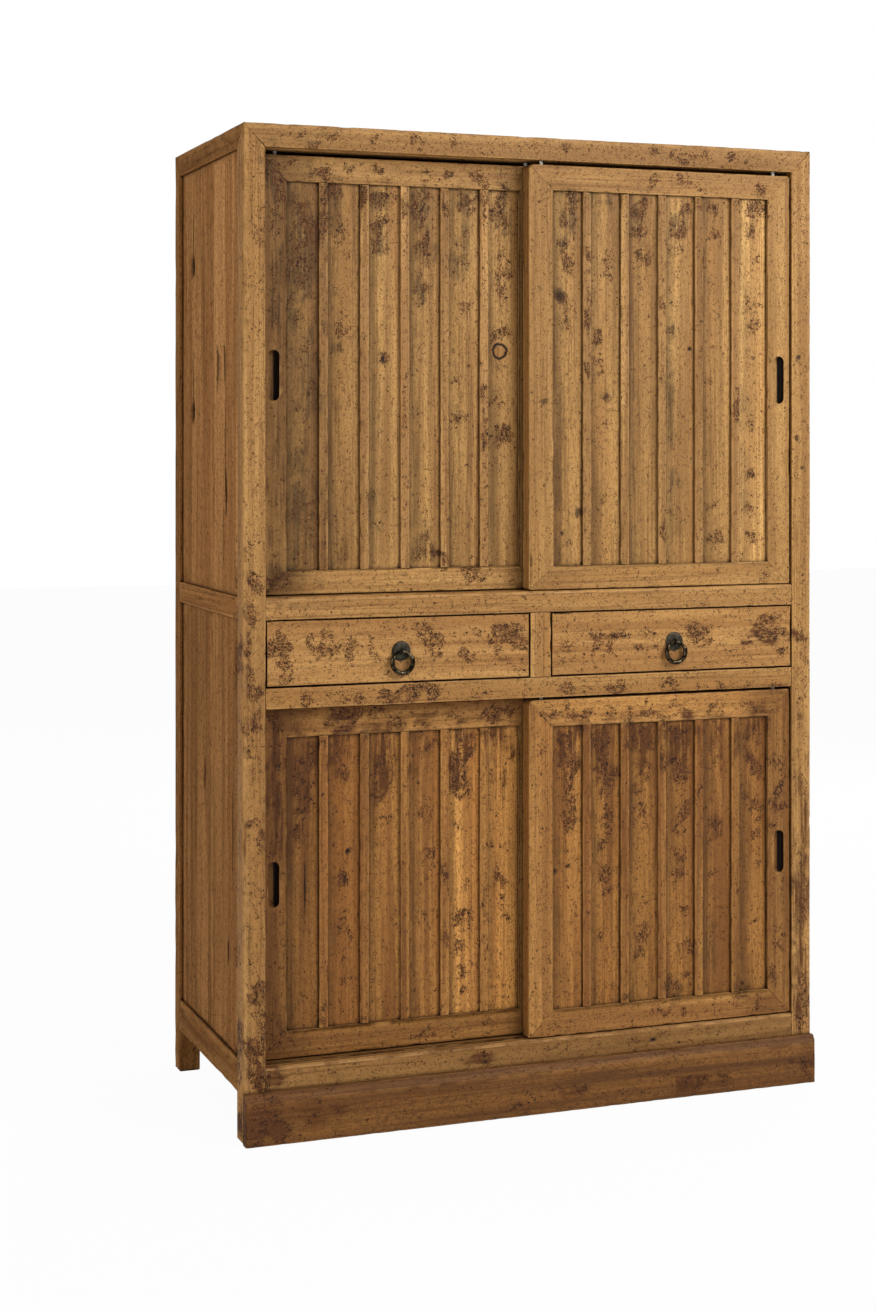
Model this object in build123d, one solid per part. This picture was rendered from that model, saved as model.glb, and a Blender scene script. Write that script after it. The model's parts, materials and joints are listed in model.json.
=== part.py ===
from build123d import *
import math
import os

# Mizuya kitchen cabinet in millimetres: +X right, +Y back, +Z up, the front faces -Y.
# The origin is the centre of the outer box, on the floor.

# ---- Overall size ------------------------------------------------------------------------
WIDTH = 1200.0
HEIGHT = 1900.0
BODY_DEPTH = 540.0  # front face of the front posts to the back face of the rear posts
PLINTH_PROUD = 20.0  # thickness of the plinth board, which lies on the front of the posts

# ---- Posts and rails ---------------------------------------------------------------------
POST_WIDTH = 44.0  # along X
POST_DEPTH = 42.0  # along Y
FOOT_CHAMFER = 3.0
FLOOR_GAP = 88.0  # floor to the underside of the lowest rails
SILL_HEIGHT = 52.0
LOWER_OPENING = 666.0
LOWER_RAIL_HEIGHT = 40.0
DRAWER_OPENING = 127.0
UPPER_RAIL_HEIGHT = 42.0
TOP_RAIL_HEIGHT = 45.0
TRACK_RAIL_DEPTH = 84.0  # rails that carry the two door tracks
LIP_RADIUS = 7.0  # worn front arris of the two track sills
DIVIDER_WIDTH = 44.0
SIDE_RAIL_THICKNESS = 30.0
SIDE_BOTTOM_RAIL_HEIGHT = 62.0
BACK_RAIL_THICKNESS = 30.0
PLINTH_HEIGHT = 95.0
PLINTH_BEVEL_DEPTH = 11.0
PLINTH_BEVEL_HEIGHT = 13.0
PLINTH_END_RADIUS = 5.0

# ---- Joinery -----------------------------------------------------------------------------
TENON_LENGTH = 22.0
SIDE_TENON_LENGTH = 20.0
TENON_SHOULDER = 8.0  # rail stock left above and below a tenon
FRONT_TENON_INSET = 10.0  # from the front and the back of the post
DIVIDER_TENON = 12.0
STUB_SIZE = 12.0  # hidden square tenon in the three-way mitre
STUB_X_INSET = 12.0
STUB_Y_INSET = 6.0
STUB_COVER = 10.0
PANEL_GROOVE = 8.0
PANEL_PLAY = 1.0  # room at the bottom of a panel groove and round a panel's notched corners
FLOOR_GROOVE = 6.0

# ---- Panels, boards and shelves ----------------------------------------------------------
PANEL_RECESS = 8.0  # side panel behind the face of the side frame
PANEL_THICKNESS = 12.0
NARROW_BOARD = 28.0  # strip glued to the back edge of each side panel
WIDE_SIDE_BOARD_COUNT = 2
BACK_RECESS = 8.0
BACK_BOARD_THICKNESS = 9.0
BACK_BOARD_COUNT = 6
TOP_BOARD_DROP = 6.0
TOP_BOARD_THICKNESS = 12.0
TOP_BOARD_COUNT = 3
FLOOR_DROP = 8.0  # floor boards below the top of the track sill
FLOOR_THICKNESS = 12.0
FLOOR_BOARD_COUNT = 3
DUST_BOARD_HEIGHT = 12.0  # underside of the dust boards above the underside of their rail
SHELF_THICKNESS = 18.0
SHELF_NOSE_RADIUS = 3.0
SHELF_SETBACK = 30.0
SHELF_PLAY = 0.5
UPPER_SHELF_RISE = 415.0  # top of the upper sill to the underside of the shelf
LOWER_SHELF_RISE = 330.0
BEARER_WIDTH = 20.0
BEARER_HEIGHT = 18.0

# ---- Sliding doors -----------------------------------------------------------------------
DOOR_THICKNESS = 30.0
DOOR_SETBACK = 5.0  # front-track door behind the face of the posts
DOOR_GAP = 6.0  # between the two tracks' doors
DOOR_OVERLAP = 46.0
DOOR_PLAY = 1.0  # door edge to post
DOOR_LIFT = 0.6  # door above the sill that it slides on
DOOR_BOTTOM_CORNER = 4.0  # corner radii seen from the front
DOOR_OUTER_CORNER = 7.0
DOOR_INNER_CORNER = 12.0
DOOR_ARRIS = 3.0
STILE_WIDTH = 52.0
UPPER_DOOR_TOP_GAP = 7.0
LOWER_DOOR_TOP_GAP = 4.5
UPPER_DOOR_TOP_RAIL = 50.0
UPPER_DOOR_BOTTOM_RAIL = 46.0
LOWER_DOOR_TOP_RAIL = 54.0
LOWER_DOOR_BOTTOM_RAIL = 52.0
DOOR_TENON_LENGTH = 30.0
DOOR_TENON_THICKNESS = 9.0
DOOR_TENON_MARGIN = 10.0
BOARD_COUNT = 6
BOARD_RECESS = 6.0
BOARD_THICKNESS = 6.0
BOARD_GROOVE = 6.0
BOARD_PLAY = 0.5
BATTEN_WIDTH = 18.0
BATTEN_DROP = 0.5  # batten face behind the frame face
TRACK_WIDTH = 9.0
TRACK_DEPTH = 6.0
TONGUE_WIDTH = 8.0
TONGUE_PLAY = 0.5  # under the tongue
GUIDE_DEPTH = 12.0  # grooves that take the guide pins
PIN_DIAMETER = 7.0
PIN_INSET = 32.0
PIN_SEAT = 10.0
PIN_ENTRY = 8.0
RECESS_WIDTH = 22.0
UPPER_RECESS_LENGTH = 96.0
LOWER_RECESS_LENGTH = 86.0
RECESS_DEPTH = 14.0
RECESS_FLOOR_BEVEL = 4.0
UPPER_RECESS_RISE = 416.0  # top of the sill to the middle of the finger recess
LOWER_RECESS_RISE = 331.0

# ---- Drawers -----------------------------------------------------------------------------
DRAWER_GAP = 2.5
DRAWER_FRONT_THICKNESS = 20.0
DRAWER_ARRIS = 2.5
DRAWER_LENGTH = 440.0
DRAWER_SIDE_THICKNESS = 12.0
DRAWER_SIDE_HEIGHT = 105.0
DRAWER_SLIDE_PLAY = 0.3
DRAWER_BOTTOM_THICKNESS = 6.0
DRAWER_BOTTOM_RISE = 8.0
DRAWER_BOTTOM_GROOVE = 5.0
DRAWER_HOUSING = 4.0
TAIL_COUNT = 3
TAIL_LENGTH = 12.0
TAIL_SLOPE = 9.0  # degrees
HALF_PIN = 6.0
PIN_NECK = 9.0
RUNNER_SHELF = 20.0  # width that carries a drawer side
GUIDE_HEIGHT = 40.0
STOP_HEIGHT = 14.0
STOP_THICKNESS = 12.0
STOP_PLAY = 0.5

# ---- Ring pulls --------------------------------------------------------------------------
PLATE_RADIUS = 18.5
PLATE_RIM = 1.2
PLATE_DOME = 4.5
STAPLE_WIRE = 3.2
EYE_RADIUS = 4.95  # centre line of the staple's eye
EYE_STANDOFF = 8.0
STAPLE_CLINCH = 8.0
STAPLE_HOLE_PLAY = 0.1
CLINCH_PLAY = 0.05
RING_RADIUS = 20.5  # centre line
RING_WIRE = 5.5
RING_SEAT = 0.3  # ring above the wire of the eye that it hangs from
PULL_DROP = 2.5  # plate centre below the middle of the drawer opening

# ---- Places worked out from the sizes above -----------------------------------------------
FRONT = (PLINTH_PROUD - BODY_DEPTH) / 2
BACK = FRONT + BODY_DEPTH
SIDE = WIDTH / 2
INNER = SIDE - POST_WIDTH  # inner face of the posts, and edge of the openings
SILL_TOP = FLOOR_GAP + SILL_HEIGHT
LOWER_RAIL_BOTTOM = SILL_TOP + LOWER_OPENING
LOWER_RAIL_TOP = LOWER_RAIL_BOTTOM + LOWER_RAIL_HEIGHT
UPPER_RAIL_BOTTOM = LOWER_RAIL_TOP + DRAWER_OPENING
UPPER_RAIL_TOP = UPPER_RAIL_BOTTOM + UPPER_RAIL_HEIGHT
TOP_RAIL_BOTTOM = HEIGHT - TOP_RAIL_HEIGHT
SIDE_BOTTOM_RAIL_TOP = FLOOR_GAP + SIDE_BOTTOM_RAIL_HEIGHT
TRACK_BACK = FRONT + TRACK_RAIL_DEPTH
POST_BACK = FRONT + POST_DEPTH
REAR_POST_FRONT = BACK - POST_DEPTH
SIDE_RAIL_INNER = SIDE - SIDE_RAIL_THICKNESS
PANEL_OUTER = SIDE - PANEL_RECESS
PANEL_INNER = PANEL_OUTER - PANEL_THICKNESS
BACK_BOARD_FRONT = BACK - BACK_RECESS - BACK_BOARD_THICKNESS
BACK_RAIL_FRONT = BACK - BACK_RAIL_THICKNESS
DUST_BOARD_BOTTOM = LOWER_RAIL_BOTTOM + DUST_BOARD_HEIGHT
DUST_BOARD_TOP = DUST_BOARD_BOTTOM + FLOOR_THICKNESS
FRONT_TRACK_FACE = FRONT + DOOR_SETBACK
REAR_TRACK_FACE = FRONT_TRACK_FACE + DOOR_THICKNESS + DOOR_GAP
DOOR_WIDTH = INNER - DOOR_PLAY + DOOR_OVERLAP / 2
LEFT = -1
RIGHT = 1


def bar(x0, x1, y0, y1, z0, z1):
    """A square-edged bar between two opposite corners, given in any order."""
    size = (abs(x1 - x0), abs(y1 - y0), abs(z1 - z0))
    return Pos((x0 + x1) / 2, (y0 + y1) / 2, (z0 + z1) / 2) * Box(*size)


def slab(points, y0, y1):
    """A flat shape drawn in X and Z, from the front y0 to the back y1."""
    return extrude(Plane.XZ.offset(-y0) * Polygon(*points, align=None), y1 - y0, dir=(0, 1, 0))


def profile(points, x0, x1):
    """A bar whose section is drawn in Y and Z, from the left x0 to the right x1."""
    return extrude(Plane.YZ.offset(x0) * Polygon(*points, align=None), x1 - x0, dir=(1, 0, 0))


def cut(piece, *voids):
    for void in voids:
        piece -= void
    return piece


def board_row(low, high, count, make):
    """Boards of equal width from low to high, each made by make(one edge, other edge)."""
    pitch = (high - low) / count
    return [make(low + i * pitch, low + (i + 1) * pitch) for i in range(count)]


def save(node, *pieces):
    """One STEP file for a node, with each piece as a solid of its own."""
    solids = [solid for piece in pieces for solid in piece.solids()]
    export_step(solids[0] if len(solids) == 1 else Compound(solids), f"parts/{node}.step")


# ---- Three-way mitre at the top corners ----------------------------------------------------
# The block where post, front or back rail and side rail meet is three pyramids. They share
# the outer corner as their apex, so each visible face shows one diagonal joint.


def pyramid(base, apex):
    faces = [Face(Wire.make_polygon(base, close=True))]
    for start, end in zip(base, base[1:] + base[:1]):
        faces.append(Face(Wire.make_polygon([start, end, apex], close=True)))
    return Solid(Shell(faces))


def corner_sides(side, at_front):
    """Outer x, inner x, outer y and inner y of a top corner block."""
    y_outer, y_inner = (FRONT, POST_BACK) if at_front else (BACK, REAR_POST_FRONT)
    return side * SIDE, side * INNER, y_outer, y_inner


def mitre_tip(member, side, at_front):
    """The pyramid that a post, a cross rail (along X) or a side rail (along Y) has there."""
    x_outer, x_inner, y_outer, y_inner = corner_sides(side, at_front)
    xs = (x_outer, x_inner, x_inner, x_outer)
    ys = (y_outer, y_outer, y_inner, y_inner)
    zs = (HEIGHT, HEIGHT, TOP_RAIL_BOTTOM, TOP_RAIL_BOTTOM)
    if member == "post":
        base = [(x, y, TOP_RAIL_BOTTOM) for x, y in zip(xs, ys)]
    elif member == "cross_rail":
        base = [(x_inner, y, z) for y, z in zip((y_outer, y_inner, y_inner, y_outer), zs)]
    else:
        base = [(x, y_inner, z) for x, z in zip(xs, zs)]
    return pyramid(base, (x_outer, y_outer, HEIGHT))


def corner_stub(side, at_front):
    """Square stub tenon that rises from the post into both rails, out of sight."""
    _, x_inner, _, y_inner = corner_sides(side, at_front)
    outwards = -1 if at_front else 1
    x0 = x_inner + side * STUB_X_INSET
    y0 = y_inner + outwards * STUB_Y_INSET
    x1, y1 = x0 + side * STUB_SIZE, y0 + outwards * STUB_SIZE
    return bar(x0, x1, y0, y1, TOP_RAIL_BOTTOM, HEIGHT - STUB_COVER)


# ---- Tenons, grooves and other shared spaces ----------------------------------------------


def front_tenon(side, bottom, top):
    y0, y1 = FRONT + FRONT_TENON_INSET, POST_BACK - FRONT_TENON_INSET
    x0, x1 = side * INNER, side * (INNER + TENON_LENGTH)
    return bar(x0, x1, y0, y1, bottom + TENON_SHOULDER, top - TENON_SHOULDER)


def back_tenon(side, bottom, top):
    y0, y1 = BACK_BOARD_FRONT, BACK_BOARD_FRONT + BACK_BOARD_THICKNESS
    x0, x1 = side * INNER, side * (INNER + TENON_LENGTH)
    return bar(x0, x1, y0, y1, bottom + TENON_SHOULDER, top - TENON_SHOULDER)


def side_tenons(side, bottom, top):
    """The tenons at both ends of a side rail, in line with the panel groove."""
    x0, x1 = side * PANEL_INNER, side * PANEL_OUTER
    z0, z1 = bottom + TENON_SHOULDER, top - TENON_SHOULDER
    front = bar(x0, x1, POST_BACK - SIDE_TENON_LENGTH, POST_BACK, z0, z1)
    rear = bar(x0, x1, REAR_POST_FRONT, REAR_POST_FRONT + SIDE_TENON_LENGTH, z0, z1)
    return [front, rear]


def divider_tenons():
    """Tenons of the drawer divider in the rail below and the rail above it."""
    x = DIVIDER_WIDTH / 2 - TENON_SHOULDER
    y0, y1 = FRONT + FRONT_TENON_INSET, POST_BACK - FRONT_TENON_INSET
    below = bar(-x, x, y0, y1, LOWER_RAIL_TOP - DIVIDER_TENON, LOWER_RAIL_TOP)
    above = bar(-x, x, y0, y1, UPPER_RAIL_BOTTOM, UPPER_RAIL_BOTTOM + DIVIDER_TENON)
    return [below, above]


FRONT_RAIL_LEVELS = (
    (FLOOR_GAP, SILL_TOP),
    (LOWER_RAIL_BOTTOM, LOWER_RAIL_TOP),
    (UPPER_RAIL_BOTTOM, UPPER_RAIL_TOP),
)
SIDE_RAIL_LEVELS = ((FLOOR_GAP, SIDE_BOTTOM_RAIL_TOP), (UPPER_RAIL_BOTTOM, UPPER_RAIL_TOP))
PANEL_LEVELS = ((SIDE_BOTTOM_RAIL_TOP, UPPER_RAIL_BOTTOM), (UPPER_RAIL_TOP, TOP_RAIL_BOTTOM))


# Each panel lies in a groove on its four sides, with its corners notched clear of the
# corner joints. With no play the same shape is the groove space in the frame.


def side_panel(side, bottom, top, play):
    x0, x1 = side * PANEL_INNER, side * PANEL_OUTER
    reach = PANEL_GROOVE - play
    wide = bar(x0, x1, POST_BACK - reach, REAR_POST_FRONT + reach, bottom + play, top - play)
    tall = bar(x0, x1, POST_BACK + play, REAR_POST_FRONT - play, bottom - reach, top + reach)
    return wide + tall


def back_panel(bottom, top, play):
    y0, y1 = BACK_BOARD_FRONT, BACK_BOARD_FRONT + BACK_BOARD_THICKNESS
    reach = PANEL_GROOVE - play
    wide = bar(-INNER - reach, INNER + reach, y0, y1, bottom + play, top - play)
    tall = bar(-INNER + play, INNER - play, y0, y1, bottom - reach, top + reach)
    return wide + tall


def top_panel(play):
    z1 = HEIGHT - TOP_BOARD_DROP
    z0 = z1 - TOP_BOARD_THICKNESS
    reach = PANEL_GROOVE - play
    wide = bar(-INNER - reach, INNER + reach, TRACK_BACK + play, REAR_POST_FRONT - play, z0, z1)
    deep = bar(-INNER + play, INNER - play, TRACK_BACK - reach, REAR_POST_FRONT + reach, z0, z1)
    return wide + deep


def floor_space(rail_top):
    """Groove space for the floor boards behind a track sill."""
    x = SIDE_RAIL_INNER + FLOOR_GROOVE
    z1 = rail_top - FLOOR_DROP
    y0, y1 = TRACK_BACK - FLOOR_GROOVE, BACK_RAIL_FRONT + FLOOR_GROOVE
    return bar(-x, x, y0, y1, z1 - FLOOR_THICKNESS, z1)


def dust_board_space():
    y0 = TRACK_BACK - FLOOR_GROOVE
    return bar(-PANEL_INNER, PANEL_INNER, y0, BACK_BOARD_FRONT, DUST_BOARD_BOTTOM, DUST_BOARD_TOP)


def track_groove(face, bottom, top):
    """A groove along the opening, centred on the thickness of the doors with that face."""
    y = face + DOOR_THICKNESS / 2
    return bar(-INNER, INNER, y - TRACK_WIDTH / 2, y + TRACK_WIDTH / 2, bottom, top)


def sill_tracks(top):
    return [track_groove(face, top - TRACK_DEPTH, top) for face in (FRONT_TRACK_FACE, REAR_TRACK_FACE)]


def guide_grooves(bottom):
    return [track_groove(face, bottom, bottom + GUIDE_DEPTH) for face in (FRONT_TRACK_FACE, REAR_TRACK_FACE)]


# ---- Posts -------------------------------------------------------------------------------


def post(side, at_front):
    x_outer, x_inner, y_outer, y_inner = corner_sides(side, at_front)
    shaft = bar(x_outer, x_inner, y_outer, y_inner, 0, TOP_RAIL_BOTTOM)
    foot = shaft.faces().sort_by(Axis.Z)[0]
    shaft = chamfer(foot.edges(), FOOT_CHAMFER)
    piece = shaft + mitre_tip("post", side, at_front) + corner_stub(side, at_front)
    for bottom, top in SIDE_RAIL_LEVELS:
        piece = cut(piece, *side_tenons(side, bottom, top))
    for bottom, top in PANEL_LEVELS:
        piece = cut(piece, side_panel(side, bottom, top, 0))
    if at_front:
        return cut(piece, *(front_tenon(side, bottom, top) for bottom, top in FRONT_RAIL_LEVELS))
    piece = cut(piece, *(back_tenon(side, bottom, top) for bottom, top in SIDE_RAIL_LEVELS))
    piece = cut(piece, *(back_panel(bottom, top, 0) for bottom, top in PANEL_LEVELS))
    return cut(piece, top_panel(0))


# ---- Rails -------------------------------------------------------------------------------


def top_front_rail():
    face = bar(-INNER, INNER, FRONT, TRACK_BACK, TOP_RAIL_BOTTOM, HEIGHT)
    rail = face + mitre_tip("cross_rail", LEFT, True) + mitre_tip("cross_rail", RIGHT, True)
    rail = cut(rail, *(corner_stub(side, True) for side in (LEFT, RIGHT)))
    return cut(rail, top_panel(0), *guide_grooves(TOP_RAIL_BOTTOM))


def top_back_rail():
    face = bar(-INNER, INNER, REAR_POST_FRONT, BACK, TOP_RAIL_BOTTOM, HEIGHT)
    rail = face + mitre_tip("cross_rail", LEFT, False) + mitre_tip("cross_rail", RIGHT, False)
    rail = cut(rail, *(corner_stub(side, False) for side in (LEFT, RIGHT)))
    return cut(rail, top_panel(0), back_panel(*PANEL_LEVELS[1], 0))


def top_side_rail(side):
    length = bar(side * INNER, side * SIDE, POST_BACK, REAR_POST_FRONT, TOP_RAIL_BOTTOM, HEIGHT)
    rail = length + mitre_tip("side_rail", side, True) + mitre_tip("side_rail", side, False)
    rail = cut(rail, corner_stub(side, True), corner_stub(side, False))
    upper = PANEL_LEVELS[1]
    return cut(rail, top_panel(0), side_panel(side, *upper, 0), back_panel(*upper, 0))


def front_rail(bottom, top, lip_radius):
    """A deep rail between the front posts, widened behind them to the side rails."""
    face = bar(-INNER, INNER, FRONT, POST_BACK, bottom, top)
    if lip_radius:
        lip = face.edges().filter_by(Axis.X).sort_by(Axis.Z)[-2:].sort_by(Axis.Y)[0]
        face = fillet(lip, lip_radius)
    rear = bar(-SIDE_RAIL_INNER, SIDE_RAIL_INNER, POST_BACK, TRACK_BACK, bottom, top)
    return face + rear + front_tenon(LEFT, bottom, top) + front_tenon(RIGHT, bottom, top)


def sill_rail():
    rail = front_rail(FLOOR_GAP, SILL_TOP, LIP_RADIUS)
    return cut(rail, floor_space(SILL_TOP), *sill_tracks(SILL_TOP))


def upper_mid_rail():
    rail = front_rail(UPPER_RAIL_BOTTOM, UPPER_RAIL_TOP, LIP_RADIUS)
    rail = cut(rail, floor_space(UPPER_RAIL_TOP), *sill_tracks(UPPER_RAIL_TOP))
    return cut(rail, *divider_tenons())


def lower_mid_rail():
    rail = front_rail(LOWER_RAIL_BOTTOM, LOWER_RAIL_TOP, 0)
    rail = cut(rail, dust_board_space(), *guide_grooves(LOWER_RAIL_BOTTOM))
    return cut(rail, *divider_tenons())


def drawer_divider():
    x = DIVIDER_WIDTH / 2
    piece = bar(-x, x, FRONT, POST_BACK, LOWER_RAIL_TOP, UPPER_RAIL_BOTTOM)
    for tenon in divider_tenons():
        piece += tenon
    return piece


def plinth_board():
    """Bevelled board on the front of the posts, rounded at its two ends."""
    y0, y1 = FRONT - PLINTH_PROUD, FRONT
    bevel_foot = (y0, PLINTH_HEIGHT - PLINTH_BEVEL_HEIGHT)
    bevel_head = (y0 + PLINTH_BEVEL_DEPTH, PLINTH_HEIGHT)
    outline = [(y1, 0), (y0, 0), bevel_foot, bevel_head, (y1, PLINTH_HEIGHT)]
    board = profile(outline, -SIDE, SIDE)
    ends = board.edges().filter_by(Axis.Z).group_by(Axis.Y)[0]
    return fillet(ends, PLINTH_END_RADIUS)


def side_rail(side, bottom, top, floor_level):
    rail = bar(side * SIDE_RAIL_INNER, side * SIDE, POST_BACK, REAR_POST_FRONT, bottom, top)
    for tenon in side_tenons(side, bottom, top):
        rail += tenon
    rail = cut(rail, *(side_panel(side, *level, 0) for level in PANEL_LEVELS))
    return cut(rail, floor_space(floor_level))


def side_rails(side):
    floors = (SILL_TOP, UPPER_RAIL_TOP)
    return [side_rail(side, *level, floor) for level, floor in zip(SIDE_RAIL_LEVELS, floors)]


def back_rail(bottom, top, floor_level):
    rail = bar(-INNER, INNER, BACK_RAIL_FRONT, BACK, bottom, top)
    rail += back_tenon(LEFT, bottom, top)
    rail += back_tenon(RIGHT, bottom, top)
    rail = cut(rail, *(back_panel(*level, 0) for level in PANEL_LEVELS))
    return cut(rail, floor_space(floor_level))


def back_rails():
    floors = (SILL_TOP, UPPER_RAIL_TOP)
    return [back_rail(*level, floor) for level, floor in zip(SIDE_RAIL_LEVELS, floors)]


def door_jambs():
    """Strips behind the front posts that the rear-track doors close against."""
    jambs = []
    for side in (LEFT, RIGHT):
        for bottom, top in ((SILL_TOP, LOWER_RAIL_BOTTOM), (UPPER_RAIL_TOP, TOP_RAIL_BOTTOM)):
            jambs.append(bar(side * INNER, side * SIDE_RAIL_INNER, POST_BACK, TRACK_BACK, bottom, top))
    return jambs


# ---- Panels, floors and shelves -------------------------------------------------------------


def side_panels(side):
    """Two wide boards and one narrow one for each panel, with upright joints."""
    x0, x1 = side * PANEL_INNER, side * PANEL_OUTER
    y0 = POST_BACK - PANEL_GROOVE
    y1 = REAR_POST_FRONT + PANEL_GROOVE
    joint = y1 - NARROW_BOARD
    strips = board_row(y0, joint, WIDE_SIDE_BOARD_COUNT, lambda a, b: bar(x0, x1, a, b, 0, HEIGHT))
    strips.append(bar(x0, x1, joint, y1, 0, HEIGHT))
    return [side_panel(side, *level, PANEL_PLAY) & strip for level in PANEL_LEVELS for strip in strips]


def back_boards():
    x = INNER + PANEL_GROOVE
    strips = board_row(-x, x, BACK_BOARD_COUNT, lambda a, b: bar(a, b, 0, BACK, 0, HEIGHT))
    return [back_panel(*level, PANEL_PLAY) & strip for level in PANEL_LEVELS for strip in strips]


def top_boards():
    y0, y1 = TRACK_BACK - PANEL_GROOVE, REAR_POST_FRONT + PANEL_GROOVE
    strips = board_row(y0, y1, TOP_BOARD_COUNT, lambda a, b: bar(-SIDE, SIDE, a, b, 0, HEIGHT))
    return [top_panel(PANEL_PLAY) & strip for strip in strips]


def notched_for_rear_posts(board, play):
    """A board whose back corners are cut away round the rear posts."""
    for side in (LEFT, RIGHT):
        x0, x1 = side * (INNER - play), side * SIDE
        board -= bar(x0, x1, REAR_POST_FRONT - play, BACK, 0, HEIGHT)
    return board


def floor_boards(rail_top):
    x = SIDE_RAIL_INNER + FLOOR_GROOVE - SHELF_PLAY
    y0, y1 = TRACK_BACK - FLOOR_GROOVE + SHELF_PLAY, BACK_RAIL_FRONT + FLOOR_GROOVE - SHELF_PLAY
    z1 = rail_top - FLOOR_DROP
    boards = board_row(y0, y1, FLOOR_BOARD_COUNT, lambda a, b: bar(-x, x, a, b, z1 - FLOOR_THICKNESS, z1))
    return boards[:-1] + [notched_for_rear_posts(boards[-1], SHELF_PLAY)]


def dust_boards():
    x = PANEL_INNER - SHELF_PLAY
    y0, y1 = TRACK_BACK - FLOOR_GROOVE + SHELF_PLAY, BACK_BOARD_FRONT - SHELF_PLAY
    boards = board_row(
        y0, y1, FLOOR_BOARD_COUNT, lambda a, b: bar(-x, x, a, b, DUST_BOARD_BOTTOM, DUST_BOARD_TOP)
    )
    return boards[:-1] + [notched_for_rear_posts(boards[-1], SHELF_PLAY)]


SHELF_LEVELS = (SILL_TOP + LOWER_SHELF_RISE, UPPER_RAIL_TOP + UPPER_SHELF_RISE)


def shelf(underside):
    x = PANEL_INNER - SHELF_PLAY
    y0, y1 = TRACK_BACK + SHELF_SETBACK, BACK_BOARD_FRONT - SHELF_PLAY
    board = bar(-x, x, y0, y1, underside, underside + SHELF_THICKNESS)
    nose = board.edges().filter_by(Axis.X).sort_by(Axis.Z)[-2:].sort_by(Axis.Y)[0]
    return notched_for_rear_posts(fillet(nose, SHELF_NOSE_RADIUS), SHELF_PLAY)


def bearers():
    """Strips on the side panels under both shelves and under the dust boards."""
    pieces = []
    for side in (LEFT, RIGHT):
        for top in SHELF_LEVELS + (DUST_BOARD_BOTTOM,):
            x0, x1 = side * (PANEL_INNER - BEARER_WIDTH), side * PANEL_INNER
            pieces.append(bar(x0, x1, TRACK_BACK, REAR_POST_FRONT, top - BEARER_HEIGHT, top))
    return pieces


# ---- Drawer runners ------------------------------------------------------------------------


def runner(outline):
    """A profile drawn in X and Z, run from the back of the rail to the rear posts."""
    return slab(outline, TRACK_BACK, REAR_POST_FRONT)


def side_runner(side):
    z0, z1, z2 = DUST_BOARD_TOP, LOWER_RAIL_TOP, LOWER_RAIL_TOP + GUIDE_HEIGHT
    outer, guide, inner = side * PANEL_INNER, side * INNER, side * (INNER - RUNNER_SHELF)
    return runner([(outer, z0), (inner, z0), (inner, z1), (guide, z1), (guide, z2), (outer, z2)])


def centre_runner():
    z0, z1, z2 = DUST_BOARD_TOP, LOWER_RAIL_TOP, LOWER_RAIL_TOP + GUIDE_HEIGHT
    guide = DIVIDER_WIDTH / 2
    foot = guide + RUNNER_SHELF
    right = [(foot, z0), (foot, z1), (guide, z1), (guide, z2)]
    return runner(right + [(-x, z) for x, z in reversed(right)])


def drawer_stops():
    """Blocks on the runners that meet the back ends of the closed drawers' sides."""
    y0 = FRONT + DRAWER_LENGTH + STOP_PLAY
    z0 = LOWER_RAIL_TOP
    stops = []
    for side in (LEFT, RIGHT):
        for x0, x1 in ((INNER, INNER - RUNNER_SHELF), (DIVIDER_WIDTH / 2, DIVIDER_WIDTH / 2 + RUNNER_SHELF)):
            stops.append(bar(side * x0, side * x1, y0, y0 + STOP_THICKNESS, z0, z0 + STOP_HEIGHT))
    return stops


# ---- Sliding doors -------------------------------------------------------------------------


class DoorSizes:
    """Where one sliding door stands, and the sizes that differ between the two levels."""

    def __init__(self, level, side):
        upper = level == "upper"
        self.side = side
        self.face = REAR_TRACK_FACE if side == LEFT else FRONT_TRACK_FACE
        outer = side * (INNER - DOOR_PLAY)
        self.x0, self.x1 = sorted((outer, outer - side * DOOR_WIDTH))
        sill = UPPER_RAIL_TOP if upper else SILL_TOP
        self.z0 = sill + DOOR_LIFT
        head = TOP_RAIL_BOTTOM if upper else LOWER_RAIL_BOTTOM
        self.top_gap = UPPER_DOOR_TOP_GAP if upper else LOWER_DOOR_TOP_GAP
        self.z1 = head - self.top_gap
        self.top_rail = UPPER_DOOR_TOP_RAIL if upper else LOWER_DOOR_TOP_RAIL
        self.bottom_rail = UPPER_DOOR_BOTTOM_RAIL if upper else LOWER_DOOR_BOTTOM_RAIL
        self.recess_z = sill + (UPPER_RECESS_RISE if upper else LOWER_RECESS_RISE)
        self.recess_length = UPPER_RECESS_LENGTH if upper else LOWER_RECESS_LENGTH
        self.back = self.face + DOOR_THICKNESS
        self.panel_x0 = self.x0 + STILE_WIDTH
        self.panel_x1 = self.x1 - STILE_WIDTH
        self.panel_z0 = self.z0 + self.bottom_rail
        self.panel_z1 = self.z1 - self.top_rail


def door_blank(door):
    """The door's outer form: rounded corners and a rounded front arris."""
    corners = [(door.x0, door.z0), (door.x1, door.z0), (door.x1, door.z1), (door.x0, door.z1)]
    top_radii = [DOOR_INNER_CORNER, DOOR_OUTER_CORNER][:: door.side]
    radii = [DOOR_BOTTOM_CORNER, DOOR_BOTTOM_CORNER] + top_radii[::-1]
    outline = make_face(FilletPolyline(*corners, radius=radii, close=True))
    blank = extrude(Plane.XZ.offset(-door.face) * outline, DOOR_THICKNESS, dir=(0, 1, 0))
    return fillet(blank.faces().sort_by(Axis.Y)[0].edges(), DOOR_ARRIS)


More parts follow.
